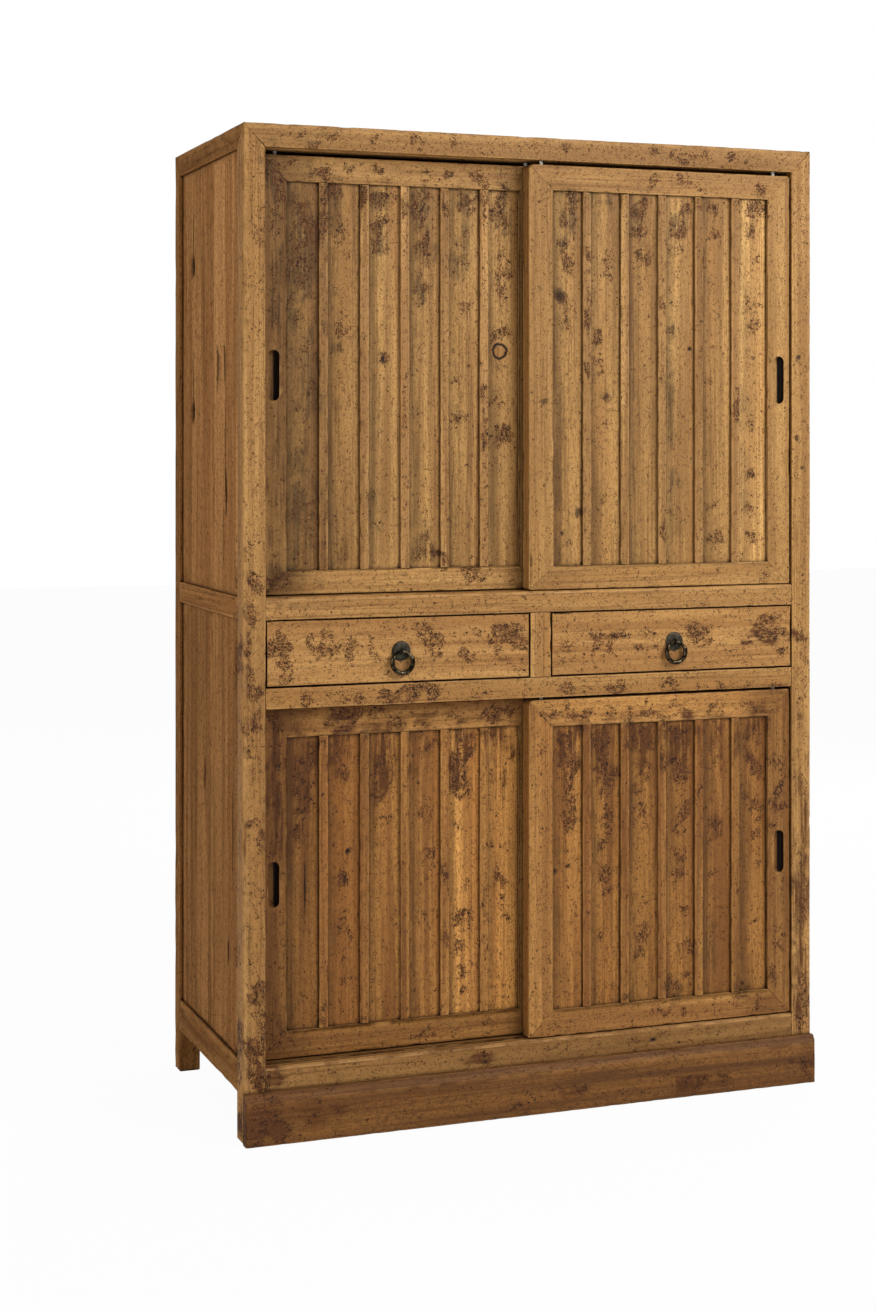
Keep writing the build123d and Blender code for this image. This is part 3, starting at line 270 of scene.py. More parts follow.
        (-430, 740, 9, 24, 0.9), (-349, 740, 9, 24, 0.8), (-183, 470, 9, 15, 0.85), (-183, 335, 9, 30, 0.7),
        (-101, 380, 9, 70, 0.6), (-267, 540, 9, 40, 0.5), (-430, 215, 9, 24, 0.7), (-267, 210, 9, 26, 0.8),
        (-349, 205, 9, 22, 0.7),
    ],
    "lower right door, frame": [
        (38, 776, 30, 20, 0.9), (66, 767, 14, 12, 0.9), (103, 772, 8, 12, 0.9), (152, 770, 24, 18, 0.55),
        (193, 772, 13, 12, 0.85), (233, 765, 22, 16, 0.85), (303, 776, 34, 16, 0.5),
        (403, 780, 34, 14, 0.5), (453, 770, 28, 16, 0.65), (518, 660, 14, 10, 0.8),
        (528, 600, 22, 27, 0.75), (537, 560, 22, 15, 0.9), (518, 526, 12, 9, 0.8), (532, 640, 16, 24, 0.5),
        (536, 400, 14, 40, 0.35), (532, 290, 18, 34, 0.5), (518, 215, 10, 32, 0.7), (258, 170, 34, 9, 0.7),
        (313, 164, 12, 9, 0.85), (362, 158, 10, 10, 0.6), (432, 170, 18, 11, 0.5), (484, 165, 10, 13, 1),
        (518, 146, 8, 6, 0.85), (10, 700, 14, 60, 0.4),
    ],
    "lower right door, boards": [
        (63, 690, 22, 66, 0.9), (65, 612, 16, 42, 0.85), (63, 560, 15, 32, 0.85), (65, 500, 15, 27, 0.55),
        (143, 640, 23, 62, 0.95), (143, 560, 17, 42, 0.8), (143, 510, 15, 13, 0.95),
        (143, 450, 15, 17, 0.95), (141, 414, 12, 11, 1), (141, 325, 15, 11, 0.75), (141, 283, 15, 9, 0.85),
        (228, 650, 26, 32, 0.55), (223, 566, 17, 21, 0.95), (223, 340, 17, 17, 0.95),
        (218, 290, 15, 15, 0.6), (308, 650, 20, 34, 0.95), (311, 566, 16, 22, 0.95),
        (308, 525, 16, 11, 0.95), (308, 480, 18, 15, 0.95), (306, 440, 18, 11, 0.85),
        (318, 366, 14, 12, 0.85), (331, 294, 14, 15, 0.95), (311, 236, 14, 11, 0.85),
        (388, 570, 16, 22, 0.85), (388, 530, 17, 30, 0.8), (383, 440, 18, 15, 0.75),
        (393, 386, 13, 11, 0.55), (481, 690, 12, 14, 0.85), (478, 648, 22, 24, 1), (478, 565, 20, 22, 0.85),
        (478, 541, 12, 9, 1), (478, 506, 10, 9, 1), (481, 448, 11, 7, 1), (478, 386, 16, 7, 0.95),
        (490, 360, 7, 9, 0.85), (473, 330, 14, 6, 0.95),
    ],
    "lower right door, battens": [
        (188, 715, 9, 60, 0.75), (268, 700, 9, 66, 0.85), (348, 600, 9, 34, 0.65), (268, 560, 9, 16, 0.65),
        (104, 720, 9, 50, 0.5), (434, 720, 9, 50, 0.5), (104, 350, 9, 30, 0.5),
    ],
    "sill": [
        (-430, 120, 18, 8, 0.5), (-120, 115, 24, 10, 0.75), (-260, 118, 26, 7, 0.4), (40, 122, 30, 8, 0.5),
        (190, 116, 36, 9, 0.5), (262, 122, 24, 7, 0.6), (400, 118, 34, 8, 0.4), (-330, 112, 20, 7, 0.4),
    ],
    "plinth": [
        (-560, 34, 56, 32, 1), (-500, 42, 36, 20, 0.6), (-455, 70, 10, 8, 0.8), (-60, 22, 34, 22, 0.65),
        (60, 32, 36, 22, 0.65), (20, 50, 14, 9, 0.6), (330, 22, 64, 18, 0.85), (410, 16, 40, 12, 0.6),
        (572, 44, 36, 24, 0.8), (548, 18, 50, 14, 0.7), (300, 62, 10, 6, 0.8), (-330, 52, 50, 14, 0.3),
    ],
}

SOOT = {  # grey bloom, mostly under the top of the case
    "upper left door, corners": [(-535, 1036, 46, 30, 0.9), (-535, 1826, 34, 26, 0.6)],
    "upper left door, frame": [
        (-526, 1800, 34, 60, 0.75), (-526, 1640, 26, 170, 0.5), (-526, 1250, 24, 220, 0.35),
    ],
    "upper left door, boards": [
        (-470, 1650, 34, 180, 0.75), (-462, 1430, 26, 90, 0.55), (-468, 1150, 32, 130, 0.6),
        (-406, 1750, 18, 70, 0.7), (-402, 1482, 16, 10, 0.8), (-310, 1775, 28, 34, 0.8),
        (-312, 1710, 22, 46, 0.65), (-309, 1466, 10, 18, 0.9), (-333, 1150, 14, 60, 0.5),
        (-230, 1758, 26, 34, 0.85), (-229, 1680, 20, 56, 0.95), (-226, 1615, 18, 36, 0.75),
        (-226, 1105, 28, 46, 0.85), (-208, 1088, 16, 14, 0.9), (-141, 1780, 28, 30, 0.8),
        (-141, 1690, 24, 60, 0.6), (-165, 1655, 14, 40, 0.6), (-66, 1750, 26, 60, 0.8),
        (-330, 1350, 14, 40, 0.35),
    ],
    "upper left door, battens": [
        (-349, 1778, 9, 30, 0.9), (-430, 1780, 9, 30, 0.6), (-183, 1700, 9, 80, 0.4),
    ],
    "upper right door, boards": [
        (65, 1732, 18, 60, 0.95), (68, 1784, 18, 18, 0.7), (45, 1592, 9, 9, 1), (88, 1170, 14, 13, 0.9),
        (140, 1782, 30, 18, 0.7), (138, 1395, 13, 15, 0.95), (220, 1764, 24, 30, 0.6),
        (218, 1690, 18, 40, 0.4), (308, 1750, 22, 40, 0.7), (286, 1350, 12, 210, 0.55),
        (300, 1160, 16, 90, 0.45), (388, 1765, 22, 34, 0.5), (472, 1765, 22, 40, 0.45),
    ],
    "top rail": [(470, 1880, 60, 14, 0.4), (-450, 1880, 60, 14, 0.35), (20, 1876, 60, 14, 0.3)],
    "lower right door": [
        (288, 222, 18, 44, 0.8), (378, 260, 26, 70, 0.4), (440, 200, 26, 20, 0.7), (185, 204, 14, 12, 0.8),
    ],
    "lower left door": [(-521, 640, 30, 130, 0.3), (-430, 745, 9, 14, 0.8), (-349, 745, 9, 14, 0.7)],
}

BROWN = {  # what is left of an old dark finish
    "right drawer": [
        (498, 916, 56, 9, 0.9), (500, 899, 46, 6, 0.75), (150, 917, 34, 7, 0.6), (240, 893, 34, 6, 0.6),
        (340, 924, 34, 11, 0.4), (574, 903, 12, 6, 0.6),
    ],
    "left drawer": [(-525, 915, 26, 14, 0.4), (-66, 930, 30, 16, 0.4), (-160, 965, 60, 5, 0.4)],
    "left front post": [
        (-590, 900, 12, 60, 0.6), (-578, 150, 28, 70, 0.75), (-572, 285, 22, 26, 0.5),
        (-578, 480, 34, 420, 0.3),
    ],
    "right front post": [(578, 330, 30, 420, 0.5), (582, 160, 24, 60, 0.6)],
    "lower left door, frame": [
        (-280, 782, 250, 26, 0.4), (-526, 640, 26, 170, 0.6), (-526, 200, 28, 70, 0.5),
    ],
    "lower left door, boards": [
        (-476, 700, 30, 66, 0.9), (-396, 712, 30, 52, 0.85), (-311, 700, 28, 66, 0.85),
        (-236, 690, 26, 66, 0.6), (-146, 705, 26, 50, 0.95), (-66, 705, 26, 62, 0.85),
        (-58, 640, 8, 60, 0.75), (-330, 640, 12, 40, 0.5), (-476, 560, 24, 30, 0.5),
    ],
    "lower right door, boards": [
        (63, 716, 34, 40, 1), (143, 716, 32, 46, 1), (143, 650, 22, 50, 0.6), (228, 716, 32, 50, 1),
        (218, 660, 10, 50, 0.6), (308, 712, 32, 48, 1), (300, 660, 16, 40, 0.6), (393, 706, 28, 60, 0.75),
        (388, 530, 16, 34, 0.75), (473, 722, 30, 44, 0.85), (478, 650, 18, 20, 0.5), (360, 440, 8, 30, 0.4),
    ],
    "lower right door, battens": [
        (104, 725, 9, 50, 0.6), (188, 715, 9, 70, 0.85), (268, 705, 9, 70, 0.9), (350, 715, 9, 50, 0.6),
        (434, 715, 9, 56, 0.6),
    ],
    "lower right door, frame": [(300, 756, 250, 8, 0.5), (536, 560, 20, 14, 0.6), (258, 172, 34, 6, 0.5)],
    "upper left door": [(-392, 1095, 14, 24, 0.4), (-526, 1400, 26, 340, 0.3)],
    "plinth": [
        (-556, 38, 56, 36, 1), (-480, 46, 60, 26, 0.5), (340, 24, 70, 20, 0.85), (572, 44, 34, 26, 0.6),
        (-60, 20, 36, 18, 0.4), (60, 30, 34, 20, 0.5),
    ],
    "sill": [(-560, 116, 40, 20, 0.6), (-120, 114, 40, 10, 0.5), (200, 116, 60, 9, 0.4)],
}

STAINS = {"flecks": FLECKS, "soot": SOOT, "brown": BROWN}

LIFT = {  # how much paler or darker than its kind each solid is, lowest first, then from the left
    "upper_mid_rail": [1.2], "lower_mid_rail": [1.05], "sill_rail": [0.8], "drawer_divider": [1.15],
    "left_drawer_front": [1.1], "right_drawer_front": [1.1], "front_post_left": [1.1],
    "front_post_right": [1.15], "rear_post_left": [0.8], "top_side_rails": [0.9], "plinth_board": [1.15],
    "side_panels_left": [1.25, 1.1, 1.1, 1.65, 1.4, 1.45], "side_rails_left": [0.85, 1.3],
    "upper_left_door_rails": [1.45, 1.2], "upper_left_door_stiles": [0.7, 0.9],
    "upper_left_door_boards": [0.75, 0.95, 1.3, 1.2, 1.1, 1.4],
    "upper_left_door_battens": [0.75, 1.35, 1.45, 1.2, 1.5], "upper_right_door_rails": [1.25, 1.2],
    "upper_right_door_stiles": [1.05, 1.15], "upper_right_door_boards": [1.1, 1.15, 1.05, 1.4, 1.25, 2.0],
    "upper_right_door_battens": [1.0, 1.25, 1.05, 1.15, 1.35], "lower_left_door_rails": [1.1, 1.3],
    # painted light: the lower left door's two right boards are made much paler, partly their own paler tone
    # and partly to offset the shadow that the lower right door casts on them
    "lower_left_door_stiles": [0.75, 1.0], "lower_left_door_boards": [0.9, 1.3, 1.3, 1.4, 2.1, 2.0],
    "lower_left_door_battens": [1.2, 1.2, 1.2, 1.4, 1.25], "lower_right_door_rails": [1.4, 1.6],
    "lower_right_door_stiles": [1.4, 0.95], "lower_right_door_boards": [1.6, 1.2, 1.0, 1.2, 1.3, 1.15],
    "lower_right_door_battens": [1.1, 1.25, 1.3, 1.2, 0.95],
}
LIFT_POWER = (1, 1.12, 1.28)  # red, green and blue: a paler piece is also yellower
SIDE_LIGHT_TINT = (1.12, 1.0, 0.8)  # painted light: the front posts' faces that look left are tinted more orange, standing in for how light falls on that side
MITRE_REACH = (0.13, 0.05)  # a door's rails take on their stiles' tone between these distances

STAIN_FADE = (1.45, 0.4)  # a mark fades in between these shares of its half width and height
STAIN_RAGGED = 0.25
STAIN_REACH = 1.5  # beyond this share a mark has no effect
RAGGED_SEEDS = ((11, 0.06, 1.0), (12, 0.025, 0.7))  # seed, length and strength of each wave field


def stain_field(groups, points, ragged):
    """How strongly the stains of one kind show at each point, from 0 to 1."""
    x, z = points[:, X] * MM, points[:, Z] * MM
    total = np.zeros(len(points))
    for marks in groups.values():
        for mark_x, mark_z, half_width, half_height, strength in marks:
            across, up = (x - mark_x) / half_width, (z - mark_z) / half_height
            near = (abs(across) < STAIN_REACH) & (abs(up) < STAIN_REACH)
            reach = np.hypot(across[near], up[near]) + STAIN_RAGGED * ragged[near]
            total[near] = np.maximum(total[near], strength * smooth_step(*STAIN_FADE, reach))
    return total


# ---- Pits: knots, holes and splits cut into the surface, in millimetres ----------------------
# Each is (place across, height, half width, half height, depth). Across is x on a front
# face and y on the left side, which FACING tells apart by the way the face looks.

PITS = {
    "side_panels_left": [
        (155, 1663, 13, 28, 4), (152, 1700, 4, 70, 2), (-39, 1455, 8, 48, 4), (-92, 1453, 7, 42, 4),
        (155, 1368, 12, 24, 4), (153, 1410, 4, 70, 2), (-203, 1648, 10, 30, 3), (-104, 1207, 7, 48, 4),
        (-98, 1320, 3.5, 120, 2), (-88, 1120, 3, 70, 2), (60, 640, 5, 34, 3), (-120, 330, 5, 26, 3),
        (-150, 560, 3, 90, 2),
    ],
    "upper_right_door_boards": [
        (330, 1492, 5, 5, 3), (50, 1125, 5, 5, 2), (45, 1592, 8, 9, 0.5), (88, 1170, 9, 8, 0.5),
    ],
    "lower_right_door_boards": [(36, 462, 7, 6, 1.5), (63, 471, 6, 4, 1)],
    "lower_left_door_boards": [(-466, 455, 1.5, 70, 1.5), (-380, 524, 5, 5, 1.5), (-386, 470, 4, 8, 1)],
    "upper_left_door_boards": [(-309, 1466, 3, 12, 0.8), (-161, 1424, 3, 4, 0.8)],
    "front_post_right": [(572, 1478, 5, 5, 1.2), (580, 1252, 6, 4, 1), (564, 282, 5, 6, 1.5)],
    "front_post_left": [(-562, 838, 3, 4, 0.8)],
    "sill_rail": [(243, 115, 7, 4, 3), (300, 104, 3, 2, 1.5)],
    "upper_right_door_stiles": [(10, 1385, 7, 5, 0.5)],
}
FACING = {"side_panels_left": (-1, 0, 0)}
FRONT_FACE = (0, -1, 0)
PIT_CUTS = (-1.25, -0.5, 0.5, 1.25)  # where a pit is cut, in its half widths and half heights
PIT_RAGGED = 0.12
PIT_WALL = (1.25, 0.2)  # a pit deepens between these shares of its size
PIT_SHADE = (1.3, 0.5)  # and is painted dark between these, as shade in the pit over the knots' own dark
PIT_LEAST_DARK = 0.45
PIT_FULL_DARK = 3  # a pit this deep, in millimetres, is painted a whole 1 darker than that, its painted shade deepening with the pit


def pit_cuts(node):
    """Cuts close to the pits and finger recesses of a node, as places along X, Y and Z."""
    places = [[], [], []]
    across = Y if node in FACING else X
    for u, v, half_width, half_height, _ in PITS.get(node, ()):
        for share in PIT_CUTS:
            places[across].append((u + share * half_width) / MM)
            places[Z].append((v + share * half_height) / MM)
    if node.endswith("door_stiles"):
        places[X] += [side * RECESS_PLACE + step for side in (-1, 1) for step in RECESS_SHADOW_STEP]
    return places


def pit_depth(node, points, normals, ragged):
    """How deep the pits are at each point in metres, and how dark they are from 0 to 1: painted shade that
    deepens with the pit, over the knots' own dark.
    """
    depth, dark = np.zeros(len(points)), np.zeros(len(points))
    across = Y if node in FACING else X
    faces = normals @ np.array(FACING.get(node, FRONT_FACE)) > 0.5
    for u, v, half_width, half_height, deep in PITS.get(node, ()):
        reach = np.hypot((points[:, across] * MM - u) / half_width, (points[:, Z] * MM - v) / half_height)
        reach = reach + PIT_RAGGED * ragged
        depth = np.maximum(depth, faces * deep / MM * smooth_step(*PIT_WALL, reach))
        darkest = min(1, PIT_LEAST_DARK + deep / PIT_FULL_DARK)
        dark = np.maximum(dark, faces * darkest * smooth_step(*PIT_SHADE, reach))
    return depth, dark


def recess_painted_shadow(node, points, dark):
    """Adds a stile's finger recess as painted light and shadow: its lit left, as a negative number, loses the
    painted crevice shade, and its right is painted dark as shadow.
    """
    low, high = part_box(node)
    x, y, z = points.T
    inside = abs(abs(x) - RECESS_PLACE) < RECESS_HALF_WIDTH
    inside &= (y > low.y + RECESS_CLEAN_RIM) & (y < low.y + RECESS_DEPTH)
    inside &= (z > low.z + RECESS_MARGIN) & (z < high.z - RECESS_MARGIN)
    beyond = x - np.sign(x) * RECESS_PLACE
    shade = RECESS_LIT + (RECESS_SHADOW - RECESS_LIT) * smooth_step(*RECESS_SHADOW_STEP, beyond)
    return np.where(inside, shade, dark)


# ---- Worn copies of the CAD pieces -----------------------------------------------------------


def weld(mesh, axis):
    """Joins the vertices of each solid, and keeps solids apart that touch across the axis."""
    looking = {1: set(), -1: set()}
    for face in mesh.faces:
        way = round(face.normal[axis], 3)
        if abs(way) == 1:
            looking[way].add(round(face.calc_center_median()[axis], 5))
    joints = sorted(looking[1] & looking[-1])
    solids = [set() for _ in range(len(joints) + 1)]
    for face in mesh.faces:
        inside = face.calc_center_median() - face.normal * INSIDE
        solids[bisect(joints, inside[axis])].update(face.verts)
    for vertices in solids:
        bmesh.ops.remove_doubles(mesh, verts=list(vertices), dist=WELD)


def islands(mesh):
    """Groups of connected vertices, one for each solid of the node: lowest first, then leftmost."""
    left = set(mesh.verts)
    groups = []
    while left:
        queue = [left.pop()]
        group = list(queue)
        while queue:
            vertex = queue.pop()
            for edge in vertex.link_edges:
                other = edge.other_vert(vertex)
                if other in left:
                    left.remove(other)
                    group.append(other)
                    queue.append(other)
        groups.append(group)
    return sorted(groups, key=lambda group: [middle(group, axis) for axis in (Z, X, Y)])


def middle(group, axis):
    places = [vertex.co[axis] for vertex in group]
    return round((min(places) + max(places)) / 2, 2)


def is_arris(edge):
    """A sharp convex edge along X, Y or Z, as bars have along their corners."""
    if len(edge.link_faces) != 2 or edge.calc_length() < LEAST_ARRIS:
        return False
    return is_straight(edge) and edge.is_convex and edge.calc_face_angle(0) > BEVEL_ANGLE


def is_straight(edge):
    """Whether an edge runs along X, Y or Z."""
    run = (edge.verts[1].co - edge.verts[0].co).normalized()
    return max(abs(run.x), abs(run.y), abs(run.z)) > 0.9999


def cut_along(mesh, axis, places):
    """Cuts the mesh across one axis at each place, working upwards through what is left."""
    normal = Vector((0, 0, 0))
    normal[axis] = 1
    ahead = mesh.verts[:] + mesh.edges[:] + mesh.faces[:]
    for place in sorted(places):
        made = bmesh.ops.bisect_plane(
            mesh, geom=ahead, dist=WELD / 2, plane_co=normal * place, plane_no=normal
        )
        ahead = [part for part in made["geom"] if lowest(part, axis) > place - WELD]


def lowest(part, axis):
    if isinstance(part, bmesh.types.BMVert):
        return part.co[axis]
    return min(vertex.co[axis] for vertex in part.verts)


def cut_places(low, high, spacing, extra):
    """Evenly spaced cuts between two faces, with one beside each face and the extra ones."""
    count = max(1, round((high - low) / spacing))
    even = [low + (high - low) * i / count for i in range(1, count)]
    guards = [low + GUARD, high - GUARD] if high - low > 4 * GUARD else []
    return sorted(even + guards + [place for place in extra if low < place < high])


def case_cuts(axis):
    """Cuts close to the case's outer faces, where its arrises are rounded."""
    low, high = CASE_LOW[axis], CASE_HIGH[axis]
    steps = [CASE_ARRIS * (1 - math.cos(math.radians(angle))) for angle in CASE_STEPS]
    return [low + step for step in steps] + [high - step for step in steps]


def rounded(points, low, high, radius):
    """Points moved inwards onto a box with rounded arrises, and which of them lay outside it."""
    inner = np.clip(points, low + radius, high - radius)
    away = points - inner
    length = np.linalg.norm(away, axis=1)
    over = length > radius * 1.001
    moved = points.copy()
    moved[over] = inner[over] + away[over] / length[over, None] * radius
    return moved, over


def read(values, key, width=1, kind=np.float32):
    """One number, or width numbers, of each vertex as an array."""
    found = np.empty(len(values) * width, kind)
    values.foreach_get(key, found)
    return found.reshape(-1, width) if width > 1 else found


def write(data, name, values, kind="FLOAT"):
    """Adds a point attribute to a mesh."""
    layer = data.attributes.new(name, kind, "POINT")
    layer.data.foreach_set("vector" if kind == "FLOAT_VECTOR" else "value", values.astype(np.float32).ravel())


def add_piece(mesh, name, material, body):
    """Turns a bmesh into a smooth piece of the scene that rides on a body."""
    for face in mesh.faces:
        face.smooth = True
    data = bpy.data.meshes.new(name)
    mesh.to_mesh(data)
    mesh.free()
    data.materials.append(MATERIALS[material])
    piece = bpy.data.objects.new(name, data)
    bpy.context.scene.collection.objects.link(piece)
    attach(piece, body)
    return piece


def worn(node, grain, material, envelope, grid):
    """A worn copy of a CAD node that replaces it: eased arrises and slightly uneven faces.

    grain is the axis that the wood runs along. envelope is a box, as its lowest corner, highest
    corner and arris radius, whose own arrises the copy follows, or None.
    """
    mesh = bmesh.new()
    mesh.from_mesh(frame["nodes"][node].data)
    if node in BOARD_AXES:
        weld(mesh, BOARD_AXES[node])
    else:
        bmesh.ops.remove_doubles(mesh, verts=mesh.verts, dist=WELD)
    bmesh.ops.dissolve_limit(mesh, angle_limit=FLAT_ANGLE, verts=mesh.verts, edges=mesh.edges)
    edge_layer = mesh.verts.layers.float.new("edge")
    piece_layer = mesh.verts.layers.int.new("piece")
    for index, group in enumerate(islands(mesh)):
        for vertex in group:
            vertex[piece_layer] = index
    sharp = [edge for edge in mesh.edges if is_arris(edge)]
    bmesh.ops.bevel(
        mesh, geom=sharp, offset=ARRIS, segments=2, profile=0.5, affect="EDGES", clamp_overlap=True
    )
    cut_finely(mesh, node, envelope, grid)
    for edge in mesh.edges:
        angle = edge.calc_face_angle(0)
        edge.smooth = angle < SHADE_ANGLE
        if angle > WORN_ANGLE and edge.is_convex and is_straight(edge):
            for vertex in edge.verts:
                vertex[edge_layer] = 1
    mesh.normal_update()
    piece = add_piece(mesh, node + "_worn", material, body_of[node])
    wear(piece.data, node, grain, envelope)
    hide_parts(node)


def cut_finely(mesh, node, envelope, grid):
    """Cuts the mesh into cells, with extra cuts near its pits and the case's arrises."""
    near_pits = pit_cuts(node)
    cuts = []
    for axis in (X, Y, Z):
        low = min(vertex.co[axis] for vertex in mesh.verts)
        high = max(vertex.co[axis] for vertex in mesh.verts)
        extra = near_pits[axis] + (case_cuts(axis) if envelope else [])
        cuts.append((cut_places(low, high, grid, extra), axis))
    for places, axis in sorted(cuts, key=lambda cut: -len(cut[0])):
        cut_along(mesh, axis, places)


def board_share(points, piece):
    """Where each point lies across its board: 0 at the left batten, 1 at the right one."""
    share = np.zeros(len(points))
    for index in range(piece.max() + 1):
        own = piece == index
        low, high = points[own, X].min() + BATTEN_COVER, points[own, X].max() - BATTEN_COVER
        share[own] = np.clip((points[own, X] - low) / (high - low), 0, 1)
    return share


def lift_field(node, points, normals, piece):
    """How much redder, greener and bluer than its kind of wood each point is, with the painted light on the
    front posts' left faces.
    """
    own = np.array(LIFT.get(node, [1]), float)
    lift = own[np.minimum(piece, len(own) - 1)]
    if node.endswith("door_rails"):
        low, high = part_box(node)
        for stile, end in zip(LIFT[node.replace("rails", "stiles")], (low.x, high.x)):
            lift += (stile - lift) * smooth_step(*MITRE_REACH, abs(points[:, X] - end))
    lift = lift[:, None] ** np.array(LIFT_POWER)
    # painted light: a front post's faces that look left are tinted more orange
    if node.startswith("front_post"):
        lift *= 1 + (np.array(SIDE_LIGHT_TINT) - 1) * (normals[:, :1] < -0.7)
    return lift


PIECE_SHIFT = (3.7, 5.1, 2.9)  # sets the waves of a node's pieces apart
SWELL_LENGTH = 0.07
FINE_LENGTH = 0.022
BITE_LENGTH = 0.035
EVEN_WEAR = 0.5  # the share of the depth that all faces lose, and what the waves add
SWELL_WEAR = 0.3
FINE_WEAR = 0.15
BITE_STEP = (0.5, 2.2)
FLANK_SHADE_STEP = (0.5, 0.0)  # painted shade with a grey stain: the left flank of a board darkens between these shares of its width
FLANK_SHADE_RAGGED = 0.05


def wear(data, node, grain, envelope):
    """Wears the surface and writes the attributes that the wood materials read."""
    rest = read(data.vertices, "co", 3).astype(float)
    normals = read(data.vertices, "normal", 3)
    edge = read(data.attributes["edge"].data, "value")
    piece = read(data.attributes["piece"].data, "value", kind=np.int32)
    points = rest
    if envelope:
        points, over = rounded(rest, *envelope)
        edge = np.maximum(edge, over)
    seed = sum(ord(letter) * (i + 7) for i, letter in enumerate(node))
    along = np.zeros(3)
    along[grain] = 1
    stretch = 1 + ALONG_STRETCH * along
    apart = rest + piece[:, None] * np.array(PIECE_SHIFT)
    swell = Waves(seed, SWELL_LENGTH, stretch)(apart)
    fine = Waves(seed + 1, FINE_LENGTH, stretch)(apart)
    bite = smooth_step(*BITE_STEP, Waves(seed + 2, BITE_LENGTH)(apart))
    uneven = EVEN_WEAR + SWELL_WEAR * swell + FINE_WEAR * fine
    depth = np.clip(WAVE_DEPTH * uneven, 0, None) + CHIP_DEPTH * edge * bite
    ragged = sum(strength * Waves(own_seed, length)(rest) for own_seed, length, strength in RAGGED_SEEDS)
    pits, dark = pit_depth(node, rest, normals, ragged)
    # the finger recess of a stile: painted light on its left, painted shadow on its right
    if node.endswith("door_stiles"):
        dark = recess_painted_shadow(node, rest, dark)
    write(data, "pit", dark)
    write(data, "lift", lift_field(node, rest, normals, piece), "FLOAT_VECTOR")
    if node.endswith("door_boards"):
        share = board_share(rest, piece)
        depth += BOARD_CROWN * (2 * share - 1) ** 2 * (normals[:, Y] < -0.5)
        # painted shade with a grey stain on each board's left flank
        write(data, "flank_shade", smooth_step(*FLANK_SHADE_STEP, share + FLANK_SHADE_RAGGED * ragged))
    moved = points - normals * (depth + pits)[:, None]
    if node.endswith("battens"):
        moved[:, Y] += BOARD_CROWN * BATTEN_SETTLE * (normals[:, Y] > 0.5)
    data.vertices.foreach_set("co", moved.astype(np.float32).ravel())
    random = np.random.default_rng(seed + 3)
    offsets = random.uniform(-9, 9, size=(piece.max() + 1, 3))
    order = [grain, (grain + 1) % 3, (grain + 2) % 3]
    write(data, "grain", rest[:, order] + offsets[piece], "FLOAT_VECTOR")
    write(data, "tone", random.uniform(0, 1, size=piece.max() + 1)[piece])
    data.attributes["edge"].data.foreach_set("value", edge.astype(np.float32))
    front = (normals[:, Y] < 0.5) & (rest[:, Y] < STAIN_DEPTH)
    for name, groups in STAINS.items():
        write(data, name, stain_field(groups, rest, ragged) * front)
    data.update()


# ---- Materials ------------------------------------------------------------------------------


class Shader:
    """Builds one material's nodes with short calls."""

    def __init__(self, name):
        self.material = bpy.data.materials.new(name)
        self.material.use_nodes = True
        self.tree = self.material.node_tree
        self.surface = self.tree.nodes["Principled BSDF"]

    def put(self, socket, value):
        if isinstance(value, bpy.types.NodeSocket):
            self.tree.links.new(value, socket)
        else:
            socket.default_value = value

    def node(self, kind, settings=None, **inputs):
        made = self.tree.nodes.new(kind)
        for name, value in (settings or {}).items():
            setattr(made, name, value)
        for name, value in inputs.items():
            self.put(made.inputs[name], value)
        return made

    def attribute(self, name, output="Fac"):
        return self.node("ShaderNodeAttribute", {"attribute_name": name}).outputs[output]

    def scaled(self, vector, scale):
        made = self.node("ShaderNodeVectorMath", {"operation": "MULTIPLY"})
        self.put(made.inputs[0], vector)
        self.put(made.inputs[1], scale)
        return made.outputs[0]

    def noise(self, name, vector):
        """A noise from NOISES, over a vector whose X runs along the grain."""
        scale, detail, roughness, distortion = NOISES[name]
        return self.node(
            "ShaderNodeTexNoise", None, Vector=self.scaled(vector, scale), Scale=1.0,
            Detail=detail, Roughness=roughness, Distortion=distortion,
        ).outputs["Fac"]

    def math(self, operation, *values):
        made = self.node("ShaderNodeMath", {"operation": operation})
        for socket, value in zip(made.inputs, values):
            self.put(socket, value)
        return made.outputs[0]

    def highest(self, *values):
        top = values[0]
        for value in values[1:]:
            top = self.math("MAXIMUM", top, value)
        return top

    def product(self, first, second):
        return self.math("MULTIPLY", first, second)

    def swing(self, value, strength, base):
        """The base, moved by how far a noise is from its middle."""
        return self.math("MULTIPLY_ADD", self.math("SUBTRACT", value, 0.5), strength, base)

    def level(self, name, value, shift=0.0):
        """A value turned into what LEVELS says, moved by a shift."""
        made = self.node("ShaderNodeMapRange", {"interpolation_type": "SMOOTHSTEP"}, Value=value)
        low, high, to_low, to_high = LEVELS[name]
        for socket, number in zip(made.inputs[1:5], (low, high, to_low + shift, to_high + shift)):
            self.put(socket, number)
        return made.outputs["Result"]

    def mix(self, share, first, second, blend="MIX"):
        made = self.node("ShaderNodeMix", {"data_type": "RGBA", "blend_type": blend})
        self.put(made.inputs["Factor"], share)
        self.put(made.inputs[6], first)
        self.put(made.inputs[7], second)
        return made.outputs[2]

    def bump(self, height, strength, distance):
        made = self.node("ShaderNodeBump", None, Height=height, Strength=strength, Distance=distance)
        return made.outputs["Normal"]

    def finish(self, **inputs):
        for name, value in inputs.items():
            self.put(self.surface.inputs[name.replace("_", " ")], value)
        return self.material


